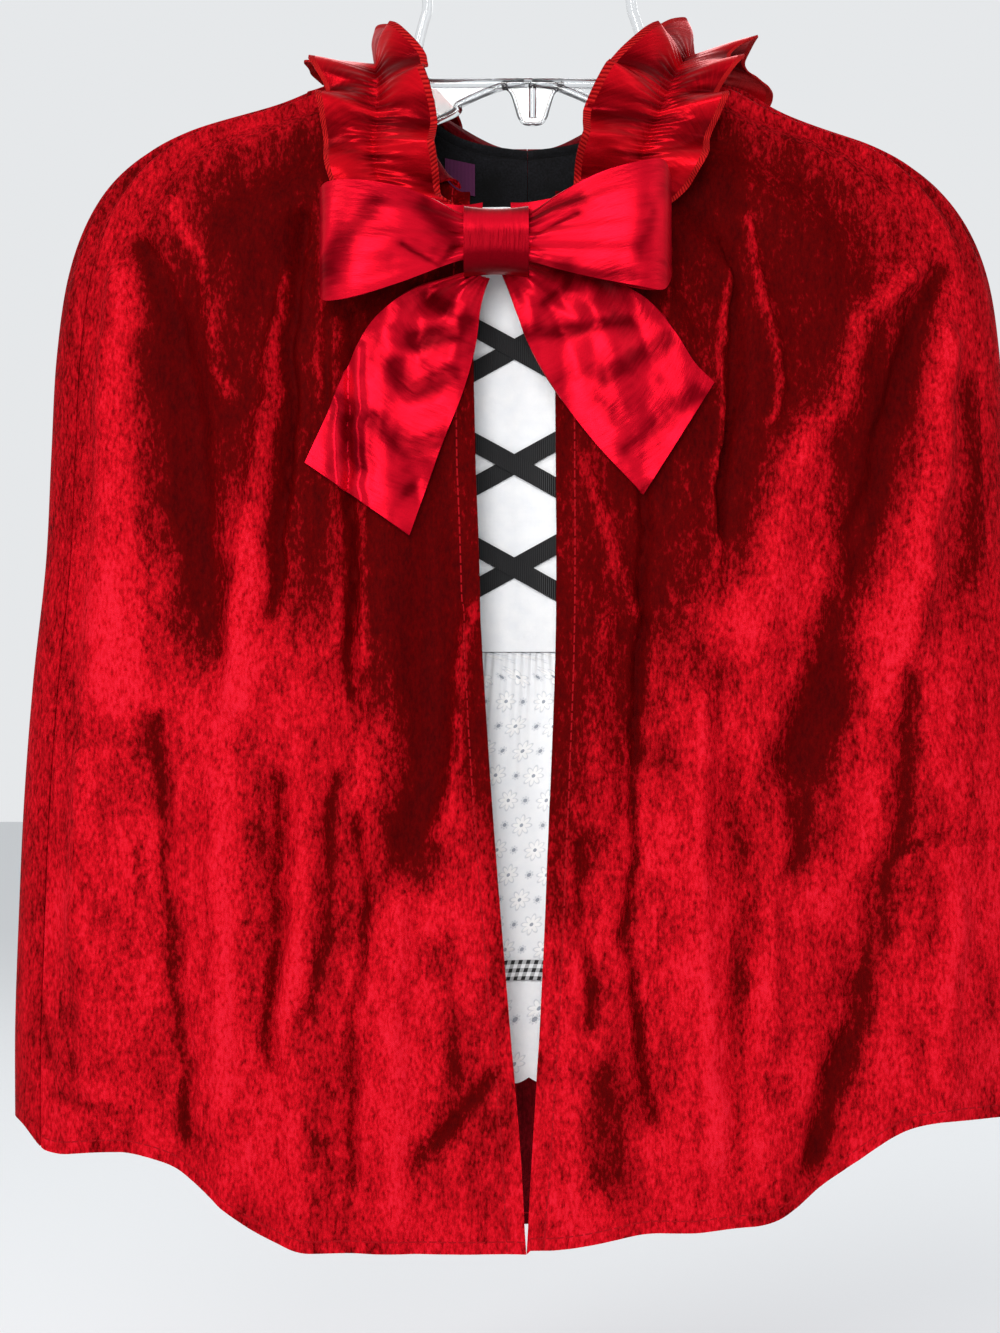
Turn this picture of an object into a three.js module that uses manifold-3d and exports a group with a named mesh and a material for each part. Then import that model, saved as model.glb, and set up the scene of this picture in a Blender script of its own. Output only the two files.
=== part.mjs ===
// Red riding hood costume on a clear plastic hanger: a velvet cape with a dropped hood, a ruffle and a
// bow, over a sleeveless dress. Millimetres, +Z up, the front faces -Y, and the hanger hangs from the
// origin. Left is the viewer's left, which is -X.
import * as THREE from 'three';
import { mergeVertices } from 'three/addons/utils/BufferGeometryUtils.js';
import Module from 'manifold-3d';

const wasm = await Module();
wasm.setup();

const costume = new THREE.Group();

const seamGap = 0.3;
const velvetThickness = 1.6;
const satinThickness = 1.2;
const cottonThickness = 1.2;
const ribbonThickness = 1.0;
const ribbonLift = 0.4;

const finishes = {
  redVelvet: { color: 0xa00814, roughness: 0.85, metalness: 0, side: THREE.DoubleSide },
  redSatin: { color: 0xb8101c, roughness: 0.35, metalness: 0, side: THREE.DoubleSide },
  blackVelvet: { color: 0x0b0b0d, roughness: 0.9, metalness: 0 },
  whiteCotton: { color: 0xeef0f4, roughness: 0.85, metalness: 0 },
  blackRibbon: { color: 0x101012, roughness: 0.6, metalness: 0 },
  checkRibbon: { color: 0x8a8a8c, roughness: 0.7, metalness: 0 },
  purpleLabel: { color: 0x5b1a4a, roughness: 0.6, metalness: 0 },
  clearPlastic: { color: 0xe8ecee, roughness: 0.1, metalness: 0 },
};

function addPiece(name, geometry, finish) {
  const piece = new THREE.Mesh(geometry, new THREE.MeshStandardMaterial(finishes[finish]));
  piece.name = name;
  costume.add(piece);
}

function mix(first, second, share) {
  return first + (second - first) * share;
}

function smoothStep(low, high, value) {
  const share = Math.min(1, Math.max(0, (value - low) / (high - low)));
  return share * share * (3 - 2 * share);
}

function bell(distance, width) {
  return Math.exp(-((distance / width) ** 2));
}

function unit(x, y, z) {
  return new THREE.Vector3(x, y, z).normalize();
}

// A table is a list of named columns and a row of numbers for each section.
function table(columns, rows) {
  return rows.map((row) => Object.fromEntries(columns.map((column, index) => [column, row[index]])));
}

// Every column of a table at a share of the way from its first row to its last, on a smooth curve.
function between(rows, share) {
  const place = Math.min(1, Math.max(0, share)) * (rows.length - 1);
  const start = Math.min(Math.floor(place), rows.length - 2);
  const t = place - start;
  const rowAt = (index) => rows[Math.min(rows.length - 1, Math.max(0, index))];
  const result = {};
  for (const column of Object.keys(rows[0])) {
    const [a, b, c, d] = [-1, 0, 1, 2].map((step) => rowAt(start + step)[column]);
    result[column] = b + 0.5 * t * (c - a + t * (2 * a - 5 * b + 4 * c - d + t * (3 * (b - c) + d - a)));
  }
  return result;
}

// A cloth wall: the outer face follows surface(u, v) with u and v from 0 to 1, and the inner face lies
// one thickness behind it. facing is 1 where u crossed with v points out of the cloth, -1 where in.
function clothWall(surface, { columns, rows, thickness, facing = 1, around = false }) {
  const step = 1e-3;
  const positions = [];
  const columnCount = around ? columns : columns + 1;
  const offset = new THREE.Vector3();
  for (const depth of [0, thickness]) {
    for (let row = 0; row <= rows; row += 1) {
      for (let column = 0; column < columnCount; column += 1) {
        const u = column / columns;
        const v = row / rows;
        const [backU, nextU] = around ? [u - step, u + step] : [Math.max(0, u - step), Math.min(1, u + step)];
        const alongU = surface(nextU, v).sub(surface(backU, v));
        const alongV = surface(u, Math.min(1, v + step)).sub(surface(u, Math.max(0, v - step)));
        offset.crossVectors(alongU, alongV).normalize().multiplyScalar(-depth * facing);
        positions.push(...surface(u, v).add(offset).toArray());
      }
    }
  }
  const faceSize = columnCount * (rows + 1);
  const point = (face, row, column) => face * faceSize + row * columnCount + (column % columnCount);
  const triangles = [];
  const quad = (a, b, c, d) => {
    if (facing > 0) {
      triangles.push(a, b, c, a, c, d);
    } else {
      triangles.push(a, c, b, a, d, c);
    }
  };
  for (let row = 0; row < rows; row += 1) {
    const next = row + 1;
    for (let column = 0; column < columns; column += 1) {
      const right = column + 1;
      quad(point(0, row, column), point(0, row, right), point(0, next, right), point(0, next, column));
      quad(point(1, row, column), point(1, next, column), point(1, next, right), point(1, row, right));
    }
    if (!around) {
      quad(point(0, row, 0), point(0, next, 0), point(1, next, 0), point(1, row, 0));
      quad(point(0, row, columns), point(1, row, columns), point(1, next, columns), point(0, next, columns));
    }
  }
  for (let column = 0; column < columns; column += 1) {
    const right = column + 1;
    quad(point(1, 0, column), point(1, 0, right), point(0, 0, right), point(0, 0, column));
    quad(point(0, rows, column), point(0, rows, right), point(1, rows, right), point(1, rows, column));
  }
  const geometry = new THREE.BufferGeometry();
  geometry.setAttribute('position', new THREE.Float32BufferAttribute(positions, 3));
  geometry.setIndex(triangles);
  geometry.computeVertexNormals();
  return geometry;
}

// Cape: each row is a level from the neck to the hem. Angles run from the front centre, 90 is +X.
const capeSections = table(
  ['sideZ', 'halfWidth', 'frontZ', 'frontY', 'backZ', 'backY', 'leftEdge', 'rightEdge'],
  [
    [-130, 84, -199, 46, -172, 40, -32, 14.4],
    [-136, 112, -212, 52.4, -180, 46, -31.8, 14.4],
    [-147, 140, -228, 56.4, -192, 50, -31.5, 14.4],
    [-162, 190, -252, 60.2, -214, 54, -31, 14.4],
    [-180, 221, -280, 63, -242, 56, -30.3, 14.4],
    [-205, 242, -312, 65, -276, 57, -29.6, 14.4],
    [-240, 256, -350, 67, -318, 58, -28.8, 14.4],
    [-285, 263, -394, 68, -366, 58, -27, 14.4],
    [-340, 266, -442, 69, -420, 58, -25.5, 14],
    [-400, 269, -495, 70, -478, 58, -22.3, 12.3],
    [-465, 276, -548, 71, -536, 58, -18.6, 10],
    [-530, 281, -604, 72, -594, 58, -14.2, 7.8],
    [-595, 284, -660, 72, -655, 58, -9.5, 5],
    [-655, 286, -715, 73, -718, 58, -4.8, 1.6],
    [-706, 286, -770, 74, -780, 58, -3.4, -1],
  ],
);
const capeRoundness = 2.6;
const shoulderSeamAngle = 62;
const gatherDepth = 3;
const frontGatherPitch = 10;
const backGatherPitch = 20;

// Front folds: where each lies at the top and at the hem as a share of the half width, how wide it is
// in the same share, how far it stands out, and the levels between which it grows and dies away.
const frontFolds = table(
  ['top', 'hem', 'width', 'depth', 'start', 'end'],
  [
    [-0.89, -0.76, 0.06, 7, 0.3, 1.1],
    [-0.75, -0.62, 0.06, -6, 0.28, 1.1],
    [-0.51, -0.54, 0.045, 9, 0.3, 0.85],
    [-0.52, -0.47, 0.03, -7, 0.3, 1.1],
    [-0.43, -0.4, 0.03, 6, 0.3, 1.1],
    [-0.37, -0.34, 0.03, -6, 0.3, 1.1],
    [-0.31, -0.27, 0.04, 6, 0.35, 1.1],
    [-0.17, -0.22, 0.06, -5, 0.4, 0.9],
    [-0.12, -0.13, 0.05, 6, 0.55, 1.1],
    [-0.9, -0.68, 0.035, -6, 0.65, 1.2],
    [-0.85, -0.86, 0.06, 8, 0.6, 1.2],
    [-0.6, -0.57, 0.05, 7, 0.6, 1.2],
    [0.09, 0.15, 0.05, 6, 0.4, 1.1],
    [0.25, 0.21, 0.035, -6, 0.35, 1.1],
    [0.32, 0.29, 0.045, 6, 0.35, 1.1],
    [0.44, 0.36, 0.03, -7, 0.3, 0.85],
    [0.5, 0.43, 0.04, 7, 0.3, 1.1],
    [0.83, 0.4, 0.07, 9, 0.3, 0.8],
    [0.9, 0.5, 0.06, -6, 0.3, 0.85],
    [0.92, 0.62, 0.05, 8, 0.35, 0.85],
    [0.87, 0.55, 0.045, -7, 0.6, 1.2],
    [0.8, 0.78, 0.07, 8, 0.6, 1.2],
    [0.6, 0.47, 0.05, 6, 0.65, 1.2],
  ],
);

// Back folds hang straight down from the neck gathers. Their places are degrees from the back centre.
const backFolds = table(
  ['place', 'width', 'depth'],
  [
    [-88, 7, 6],
    [-66, 8, -6],
    [-47, 8, 9],
    [-29, 7, -6],
    [-13, 7, 7],
    [4, 6, -6],
    [19, 7, 8],
    [36, 7, -6],
    [54, 8, 9],
    [73, 8, -6],
    [92, 7, 6],
  ],
);

function capeFoldDepth(place, degrees, isFront, level) {
  const pitch = isFront ? frontGatherPitch : backGatherPitch;
  const gatherGrowth = smoothStep(0, 0.1, level) * (1 - smoothStep(0.2, 0.5, level));
  let depth = gatherDepth * gatherGrowth * Math.cos((degrees / pitch) * 2 * Math.PI);
  if (isFront) {
    const sideFade = 1 - smoothStep(0.86, 0.93, Math.abs(place));
    for (const fold of frontFolds) {
      const centre = mix(fold.top, fold.hem, (level - 0.3) / 0.7);
      const growth = smoothStep(fold.start, fold.start + 0.25, level);
      const decay = 1 - smoothStep(fold.end - 0.2, fold.end, level);
      depth += sideFade * fold.depth * growth * decay * bell(place - centre, fold.width);
    }
    return depth;
  }
  const fromBack = degrees > 0 ? degrees - 180 : degrees + 180;
  for (const fold of backFolds) {
    depth += fold.depth * smoothStep(0.5, 0.95, level) * bell(fromBack - fold.place, fold.width);
  }
  return depth;
}

// How far a rounded oblong section reaches at an angle, as a share of its half width or depth.
function sectionReach(sine, cosine) {
  return (Math.abs(sine) ** capeRoundness + Math.abs(cosine) ** capeRoundness) ** (-1 / capeRoundness);
}

function capePoint(degrees, level) {
  const section = between(capeSections, level);
  const angle = THREE.MathUtils.degToRad(degrees);
  const sine = Math.sin(angle);
  const cosine = Math.cos(angle);
  const reachRatio = sectionReach(sine, cosine);
  const reach = reachRatio * Math.abs(sine);
  const isFront = cosine > 0;
  const centreZ = isFront ? section.frontZ : section.backZ;
  const depthY = isFront ? section.frontY : section.backY;
  const fallStart = mix(0.1, isFront ? 0.36 : 0.1, level);
  const fallEnd = mix(1, isFront ? 0.72 : 1, level);
  const fold = capeFoldDepth(reachRatio * sine, degrees, isFront, level);
  return new THREE.Vector3(
    section.halfWidth * reachRatio * sine + fold * sine,
    -depthY * reachRatio * cosine - fold * cosine,
    mix(centreZ, section.sideZ, smoothStep(fallStart, fallEnd, reach)),
  );
}

// The angle at which the cape's section reaches a share of its half width, on the front.
function angleOfReach(share) {
  const forward = (1 - Math.abs(share) ** capeRoundness) ** (1 / capeRoundness);
  return THREE.MathUtils.radToDeg(Math.atan2(share, forward));
}

function capeFront(side, edgeColumn) {
  return (u, v) => {
    const section = between(capeSections, v);
    const edgeAngle = angleOfReach(section[edgeColumn] / section.halfWidth);
    const seamAngle = side * shoulderSeamAngle;
    return capePoint(mix(edgeAngle, seamAngle, u), v);
  };
}

const frontWall = { columns: 30, rows: 12, thickness: velvetThickness };
addPiece('cape_front_left', clothWall(capeFront(-1, 'leftEdge'), { ...frontWall, facing: 1 }), 'redVelvet');
addPiece('cape_front_right', clothWall(capeFront(1, 'rightEdge'), { ...frontWall, facing: -1 }), 'redVelvet');

function capeBack(u, v) {
  const section = between(capeSections, v);
  const gapAngle = THREE.MathUtils.radToDeg(seamGap / section.halfWidth) * 2.5;
  return capePoint(shoulderSeamAngle + gapAngle + u * 2 * (180 - shoulderSeamAngle - gapAngle), v);
}

const backPanelWall = { columns: 44, rows: 12, thickness: velvetThickness, facing: -1 };
addPiece('cape_back', clothWall(capeBack, backPanelWall), 'redVelvet');

// The cape's front at a given x and z, found by halving the range of levels that holds it.
function capeFrontAt(x, z) {
  let low = 0;
  let high = 1;
  const pointAt = (level) => {
    const reach = Math.min(0.999, Math.abs(x) / between(capeSections, level).halfWidth);
    return capePoint(angleOfReach(Math.sign(x) * reach), level);
  };
  for (let turn = 0; turn < 20; turn += 1) {
    const middle = (low + high) / 2;
    if (pointAt(middle).z > z) {
      low = middle;
    } else {
      high = middle;
    }
  }
  return pointAt(low);
}

// Cloth that lies on the cape's front is moved forward until it stands clear of it.
function restOnFront(point, lift) {
  const below = capeFrontAt(point.x, point.z);
  const isOverCape = Math.abs(below.z - point.z) < 1 && Math.abs(below.x - point.x) < 1;
  if (isOverCape && point.y < 12) {
    point.y = Math.min(point.y, below.y - lift);
  }
  return point;
}

// Ruffle: each row is a place along the gathered line from the front of the neck over the shoulder to
// the centre back, and the last row mirrors the one before the centre, which only shapes the curve.
// The inner half leans along the in columns and the outer half along the out columns.
const ruffleColumns = ['x', 'y', 'z', 'inX', 'inY', 'inZ', 'inWidth', 'outX', 'outY', 'outZ', 'outWidth'];
const ruffleLeft = table(ruffleColumns, [
  [-64, -64, -212, 0.9, 0.05, 0.1, 26, -0.9, 0, -0.3, 24],
  [-80, -63, -197, 0.97, 0, -0.2, 36, -0.9, 0, -0.3, 26],
  [-84, -61, -178, 0.97, -0.15, -0.1, 38, -0.95, 0, 0, 28],
  [-82, -58, -160, 0.97, -0.2, -0.05, 35, -0.95, -0.1, 0.1, 32],
  [-82, -49, -145, 0.8, -0.45, 0.2, 36, -0.93, 0, 0.05, 34],
  [-83, -35, -131, 0.6, -0.6, 0.45, 36, -0.93, 0.05, 0.05, 38],
  [-84, -14, -120, 0.3, -0.5, 0.75, 36, -0.95, 0, -0.1, 42],
  [-85, 8, -117, 0.25, 0.3, 0.85, 38, -0.93, 0.1, -0.25, 46],
  [-86, 32, -126, 0.6, 0.2, 0.55, 42, -0.9, 0.3, -0.15, 46],
  [-77, 56, -150, 0.65, 0.25, 0.5, 44, -0.8, 0.4, -0.4, 46],
  [-60, 76, -174, 0.5, 0.35, 0.45, 42, -0.65, 0.5, -0.55, 45],
  [-41, 89, -194, 0.2, 0.5, 0.65, 40, -0.4, 0.5, -0.75, 44],
  [-20, 97, -209, 0.1, 0.45, 0.8, 38, -0.2, 0.35, -0.9, 42],
  [0, 99, -215, 0, 0.4, 0.85, 38, 0, 0.3, -0.95, 42],
  [20, 97, -209, -0.1, 0.45, 0.8, 38, 0.2, 0.35, -0.9, 42],
]);
const ruffleRight = table(ruffleColumns, [
  [42, -64, -210, -0.9, 0.05, 0.1, 24, 0.9, 0, -0.3, 24],
  [57, -63, -195, -0.97, 0.05, -0.1, 36, 0.95, 0, -0.1, 32],
  [61, -62, -178, -0.98, -0.15, 0.05, 38, 0.97, 0, 0.05, 38],
  [69, -59, -160, -0.97, -0.2, 0.15, 42, 0.95, 0.05, 0.1, 36],
  [74, -51, -147, -0.9, -0.3, 0.3, 42, 0.9, 0.15, 0.1, 34],
  [80, -38, -133, -0.7, -0.5, 0.45, 40, 0.9, 0.2, 0.15, 36],
  [86, -16, -119, -0.5, -0.5, 0.65, 40, 0.92, 0.05, 0.3, 36],
  [92, 6, -112, -0.4, 0.25, 0.85, 42, 0.75, 0.2, 0.2, 42],
  [99, 28, -118, -0.5, 0.3, 0.75, 42, 0.9, 0.1, -0.4, 50],
  [88, 54, -141, -0.45, 0.35, 0.7, 42, 0.85, 0.25, -0.45, 48],
  [66, 76, -168, -0.3, 0.5, 0.75, 40, 0.65, 0.5, -0.6, 46],
  [43, 89, -192, -0.2, 0.55, 0.75, 38, 0.4, 0.5, -0.75, 44],
  [20, 97, -209, -0.1, 0.45, 0.8, 38, 0.2, 0.35, -0.9, 42],
  [0, 99, -215, 0, 0.4, 0.85, 38, 0, 0.3, -0.95, 42],
  [-20, 97, -209, 0.1, 0.45, 0.8, 38, -0.2, 0.35, -0.9, 42],
]);
const ruffleWaves = 8;
const ruffleWaveHeight = 7;

function ruffleRow(rows, along) {
  return between(rows, (along * (rows.length - 2)) / (rows.length - 1));
}

function gatherLinePoint(rows, along) {
  const row = ruffleRow(rows, along);
  return new THREE.Vector3(row.x, row.y, row.z);
}

// Away from the neck, at right angles to the gathered line and to the inner half of the ruffle.
function ruffleFacing(rows, side, along) {
  const row = ruffleRow(rows, along);
  const tangent = gatherLinePoint(rows, along + 0.01).sub(gatherLinePoint(rows, Math.max(0, along - 0.01)));
  return unit(row.inX, row.inY, row.inZ).cross(tangent.normalize()).multiplyScalar(-side).normalize();
}

function ruffle(rows, side) {
  return (u, v) => {
    const row = ruffleRow(rows, u);
    const across = v * 2 - 1;
    const lean = across < 0 ? unit(row.inX, row.inY, row.inZ) : unit(row.outX, row.outY, row.outZ);
    const width = across < 0 ? row.inWidth : row.outWidth;
    const spread = Math.abs(across);
    const phase = across < 0 ? 0 : 0.35;
    const endFade = smoothStep(0, 0.12, u) * (1 - smoothStep(0.93, 1, u));
    const swing = 0.5 + Math.sin((u * ruffleWaves + phase) * 2 * Math.PI);
    const wave = ruffleWaveHeight * endFade * spread ** 1.3 * swing;
    const facing = ruffleFacing(rows, side, u);
    const point = gatherLinePoint(rows, u);
    point.addScaledVector(lean, width * spread);
    point.addScaledVector(facing, wave + 3 * Math.sin(spread * Math.PI));
    point.x += side * seamGap * 0.7;
    return restOnFront(point, satinThickness + 2.4);
  };
}

const ruffleWall = { columns: 44, rows: 4, thickness: satinThickness };
addPiece('hood_ruffle_left', clothWall(ruffle(ruffleLeft, -1), { ...ruffleWall, facing: 1 }), 'redSatin');
addPiece('hood_ruffle_right', clothWall(ruffle(ruffleRight, 1), { ...ruffleWall, facing: -1 }), 'redSatin');

// Hood: it rises from the neck seam, rolls over the cape and hangs behind as a pouch, whose outer
// layer comes up again to the gathered line of the ruffle.
const hoodRings = table(
  ['halfWidth', 'backY', 'sideZ', 'backZ'],
  [
    [84, 40, -129.7, -171.7],
    [83.5, 42.5, -127.5, -164],
    [83, 56, -126, -164],
    [83, 69, -125, -212],
    [83, 76, -124.5, -285],
    [83, 84, -124, -326],
    [83, 92, -123.5, -285],
    [83, 95, -123, -240],
  ],
);
const hoodFrontAngle = 25;
const neckClearance = 0.9;
const hoodUnderRuffle = 4;
const hoodRoll = 8;

function hood(rows, side) {
  return (u, v) => {
    const degrees = mix(hoodFrontAngle, 180, u);
    const angle = THREE.MathUtils.degToRad(degrees);
    const neck = capePoint(side * degrees, 0);
    neck.z += seamGap + neckClearance;
    const edge = gatherLinePoint(rows, u).addScaledVector(ruffleFacing(rows, side, u), -hoodUnderRuffle);
    const frontPath = neck.clone().lerp(edge, v);
    const roll = hoodRoll * (1 - 0.6 * smoothStep(90, 130, degrees)) * Math.sin(v ** 0.7 * Math.PI);
    frontPath.add(unit(0, -Math.cos(angle) * 0.3, 1).multiplyScalar(roll));
    const ring = between(hoodRings, Math.min(1, (v * hoodRings.length) / (hoodRings.length - 1)));
    const backShare = smoothStep(108, 172, degrees);
    const ratio = sectionReach(Math.sin(angle), Math.cos(angle));
    const first = hoodRings[0];
    const backPath = new THREE.Vector3(
      side * ring.halfWidth * ratio * Math.sin(angle),
      -ring.backY * ratio * Math.cos(angle),
      neck.z + mix(ring.sideZ - first.sideZ, ring.backZ - first.backZ, backShare),
    );
    backPath.lerp(edge, smoothStep((hoodRings.length - 1) / hoodRings.length, 1, v));
    const point = frontPath.lerp(backPath, smoothStep(105, 165, degrees));
    point.x += side * seamGap * 0.5;
    return degrees < 90 && v > 0.05 ? restOnFront(point, 0.6) : point;
  };
}

const hoodWall = { columns: 12, rows: 13, thickness: velvetThickness };
addPiece('hood_left', clothWall(hood(ruffleLeft, -1), { ...hoodWall, facing: -1 }), 'redVelvet');
addPiece('hood_right', clothWall(hood(ruffleRight, 1), { ...hoodWall, facing: 1 }), 'redVelvet');

// Bow: a knot that is a short tube of satin, two flat loops and two tails over the cape's fronts.
const knot = { left: -35, right: -0.5, y: -74.5, z: -227.5, halfHeight: 17, halfDepth: 13, pinch: 1.5 };

function knotSurface(u, v) {
  const angle = u * 2 * Math.PI;
  const waist = 1 - (knot.pinch / knot.halfHeight) * Math.sin(v * Math.PI);
  const flatten = (Math.abs(Math.cos(angle)) ** 3 + Math.abs(Math.sin(angle)) ** 3) ** (-1 / 3);
  return new THREE.Vector3(
    mix(knot.left, knot.right, v),
    knot.y + knot.halfDepth * flatten * Math.cos(angle),
    knot.z + knot.halfHeight * flatten * waist * Math.sin(angle),
  );
}

const knotWall = { columns: 20, rows: 2, thickness: 2, facing: -1, around: true };
addPiece('bow_knot', clothWall(knotSurface, knotWall), 'redSatin');

// Each loop goes out from the knot in front and comes back behind. Top and bottom are its edges.
const loopColumns = ['x', 'y', 'top', 'bottom'];
const loopLeft = table(loopColumns, [
  [-25, -83.3, -222, -233],
  [-37, -83.8, -219, -236.5],
  [-51, -86, -210, -246],
  [-70, -90, -204, -255],
  [-92, -91, -201, -262],
  [-106, -87, -201.5, -264],
  [-110, -80.5, -205, -261],
  [-106, -75, -204, -262],
  [-90, -73, -204, -259],
  [-65, -73, -208, -250],
  [-38, -72, -219, -236],
  [-25, -68.2, -222, -233],
]);
const loopRight = table(loopColumns, [
  [-10, -83.3, -221, -233],
  [1.5, -83.8, -217, -237],
  [16, -87, -207, -245],
  [38, -91, -197, -253],
  [58, -92, -191.5, -257],
  [70, -87, -190, -258],
  [74, -80.5, -200, -250],
  [70, -75, -193, -256],
  [56, -73, -194, -255],
  [30, -73, -203, -248],
  [3, -72, -217, -236],
  [-10, -68.2, -221, -233],
]);
const loopPleats = 3;
const loopPleatDepth = 1.6;

function loop(rows) {
  return (u, v) => {
    const row = between(rows, u);
    const nearKnot = Math.abs(u * 2 - 1) ** 2;
    const isBehind = smoothStep(0.45, 0.6, u);
    const belly = 3 * (1 - nearKnot) * Math.sin(v * Math.PI) * (1 - 1.3 * isBehind);
    const pleat = loopPleatDepth * nearKnot * (1 - isBehind) * Math.sin(v * loopPleats * 2 * Math.PI);
    return new THREE.Vector3(row.x, row.y - belly + pleat, mix(row.top, row.bottom, v));
  };
}

const loopWall = { columns: 16, rows: 5, thickness: satinThickness };
addPiece('bow_loop_left', clothWall(loop(loopLeft), { ...loopWall, facing: -1 }), 'redSatin');
addPiece('bow_loop_right', clothWall(loop(loopRight), { ...loopWall, facing: 1 }), 'redSatin');

const tailColumns = ['leftX', 'leftZ', 'rightX', 'rightZ'];
const tailLeft = table(tailColumns, [
  [-33, -246.8, -22, -248.6],
  [-60, -254, -26, -265],
  [-84, -272, -29, -287],
  [-98, -298, -36, -312],
  [-109, -324, -48, -342],
  [-120, -348, -64, -387],
]);
const tailRight = table(tailColumns, [
  [-14, -248, -4, -246],
  [-7, -268, 36, -254],
  [2, -290, 62, -264],
  [17, -314, 76, -280],
  [37, -340, 88, -294],
  [61, -365, 99, -305],
]);
const tailLift = 6.2;
const tailPleatDepth = 1.6;

function tail(rows) {
  return (u, v) => {
    const row = between(rows, v);
    const x = mix(row.leftX, row.rightX, u);
    const z = mix(row.leftZ, row.rightZ, u);
    const pleat = tailPleatDepth * Math.sin(u * 2.5 * Math.PI + 0.6) * (1 - 0.5 * v);
    const section = capeFrontAt(x, z);
    return new THREE.Vector3(x, section.y - tailLift + pleat, z);
  };
}

const tailWall = { columns: 6, rows: 8, thickness: satinThickness, facing: -1 };
addPiece('bow_tail_left', clothWall(tail(tailLeft), tailWall), 'redSatin');
addPiece('bow_tail_right', clothWall(tail(tailRight), tailWall), 'redSatin');

// Dress bodice: each row is a level from the shoulder to the waist. The side columns follow the
// armhole and the side seam, and fullness is the half width that the depth is worked out from.
const bodice = table(
  ['neckX', 'neckZ', 'sideX', 'sideZ', 'backZ', 'fullness'],
  [
    [70, -126.6, 125, -149.7, -164, 142],
    [61, -165, 117, -190, -199, 140],
    [48, -199, 118, -228, -232, 138],
    [46, -250, 135, -266, -270, 135],
    [45.5, -320, 134.5, -330, -330, 134.5],
    [44.5, -385, 130, -390, -390, 130],
    [43, -449, 126, -449, -449, 126],
  ],
);
const shoulder = { neckX: 70, neckZ: -126.6, slope: 0.42, roundOver: 60, halfGap: 0.5 };
const bodiceFrontDepth = 33;
const bodiceBackDepth = 28;
const seamHalf = seamGap / 2;

// How far the bodice stands from the hanger's plane, less near the shoulder where it rounds over.
function bodiceDepth(x, z, fullness, depth) {
  const shoulderZ = shoulder.neckZ - Math.max(0, Math.abs(x) - shoulder.neckX) * shoulder.slope;
  const rise = 1 - Math.min(1, Math.max(0, shoulderZ - z) / shoulder.roundOver);
  const round = Math.sqrt(1 - rise * rise);
  return shoulder.halfGap + depth * round * Math.sqrt(Math.max(0, 1 - (x / fullness) ** 2));
}

function bodicePoint(x, z, fullness, depth, forward) {
  return new THREE.Vector3(x, forward * bodiceDepth(x, z, fullness, depth), z);
}

// Levels lie closer together near the shoulder, where the cloth rounds over the hanger.
function bodiceLevel(v) {
  return v ** 1.5;
}

function archX(fullness, innerX, outerX, share) {
  const inner = Math.asin(Math.min(1, innerX / fullness));
  const outer = Math.asin(Math.min(1, outerX / fullness));
  return fullness * Math.sin(mix(inner, outer, share));
}

// The white panel lies a little to the left, so its two seams are not at the same distance.
const panelCentreX = -8;
const panelTopLevel = 2 / 6;
const panelSeamHalf = 0.35;

function panelEdge(level, side) {
  return between(bodice, level).neckX + side * panelCentreX * smoothStep(0, panelTopLevel, level);
}

function dressSide(side) {
  return (u, v) => {
    const level = bodiceLevel(v);
    const row = between(bodice, level);
    const innerX = panelEdge(level, side);
    const x = archX(row.fullness, innerX + panelSeamHalf, row.sideX, u);
    const share = (x - innerX) / (row.sideX - innerX);
    return bodicePoint(side * x, mix(row.neckZ, row.sideZ, share), row.fullness, bodiceFrontDepth, -1);
  };
}

const sideWall = { columns: 5, rows: 10, thickness: velvetThickness };
addPiece('dress_side_left', clothWall(dressSide(-1), { ...sideWall, facing: 1 }), 'blackVelvet');
addPiece('dress_side_right', clothWall(dressSide(1), { ...sideWall, facing: -1 }), 'blackVelvet');

function frontPanel(u, v) {
  const level = mix(panelTopLevel, 1, v);
  const row = between(bodice, level);
  const x = mix(-panelEdge(level, -1) + panelSeamHalf, panelEdge(level, 1) - panelSeamHalf, u);
  return bodicePoint(x, row.neckZ, row.fullness, bodiceFrontDepth, -1);
}

const panelWall = { columns: 8, rows: 8, thickness: cottonThickness, facing: -1 };
addPiece('dress_front_panel', clothWall(frontPanel, panelWall), 'whiteCotton');

const backColumns = 9;
const neckCorner = 5 / 9;
const neckRise = 29.4;
const cornerX = shoulder.neckX / bodice[0].sideX;
const turnTo = (x) => Math.asin(x / bodice[0].fullness);
const cornerTurn = turnTo(shoulder.neckX) / turnTo(bodice[0].sideX);

function dressBack(side) {
  return (u, v) => {
    const level = bodiceLevel(v);
    const row = between(bodice, level);
    const beyondCorner = (u - neckCorner) / (1 - neckCorner);
    const turn = u < neckCorner ? (u / neckCorner) * cornerTurn : mix(cornerTurn, 1, beyondCorner);
    const x = archX(row.fullness, seamHalf, row.sideX, turn);
    const share = x / row.sideX;
    const topX = archX(bodice[0].fullness, seamHalf, bodice[0].sideX, turn) / bodice[0].sideX;
    const rise = topX < cornerX ? (topX / cornerX) ** 4 : (1 - topX) / (1 - cornerX);
    const z = mix(row.backZ, row.sideZ, share) + neckRise * rise * (1 - level) ** 3;
    return bodicePoint(side * x, z, row.fullness, bodiceBackDepth, 1);
  };
}

const backWall = { columns: backColumns, rows: 8, thickness: velvetThickness };
addPiece('dress_back_left', clothWall(dressBack(-1), { ...backWall, facing: -1 }), 'blackVelvet');
addPiece('dress_back_right', clothWall(dressBack(1), { ...backWall, facing: 1 }), 'blackVelvet');

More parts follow.
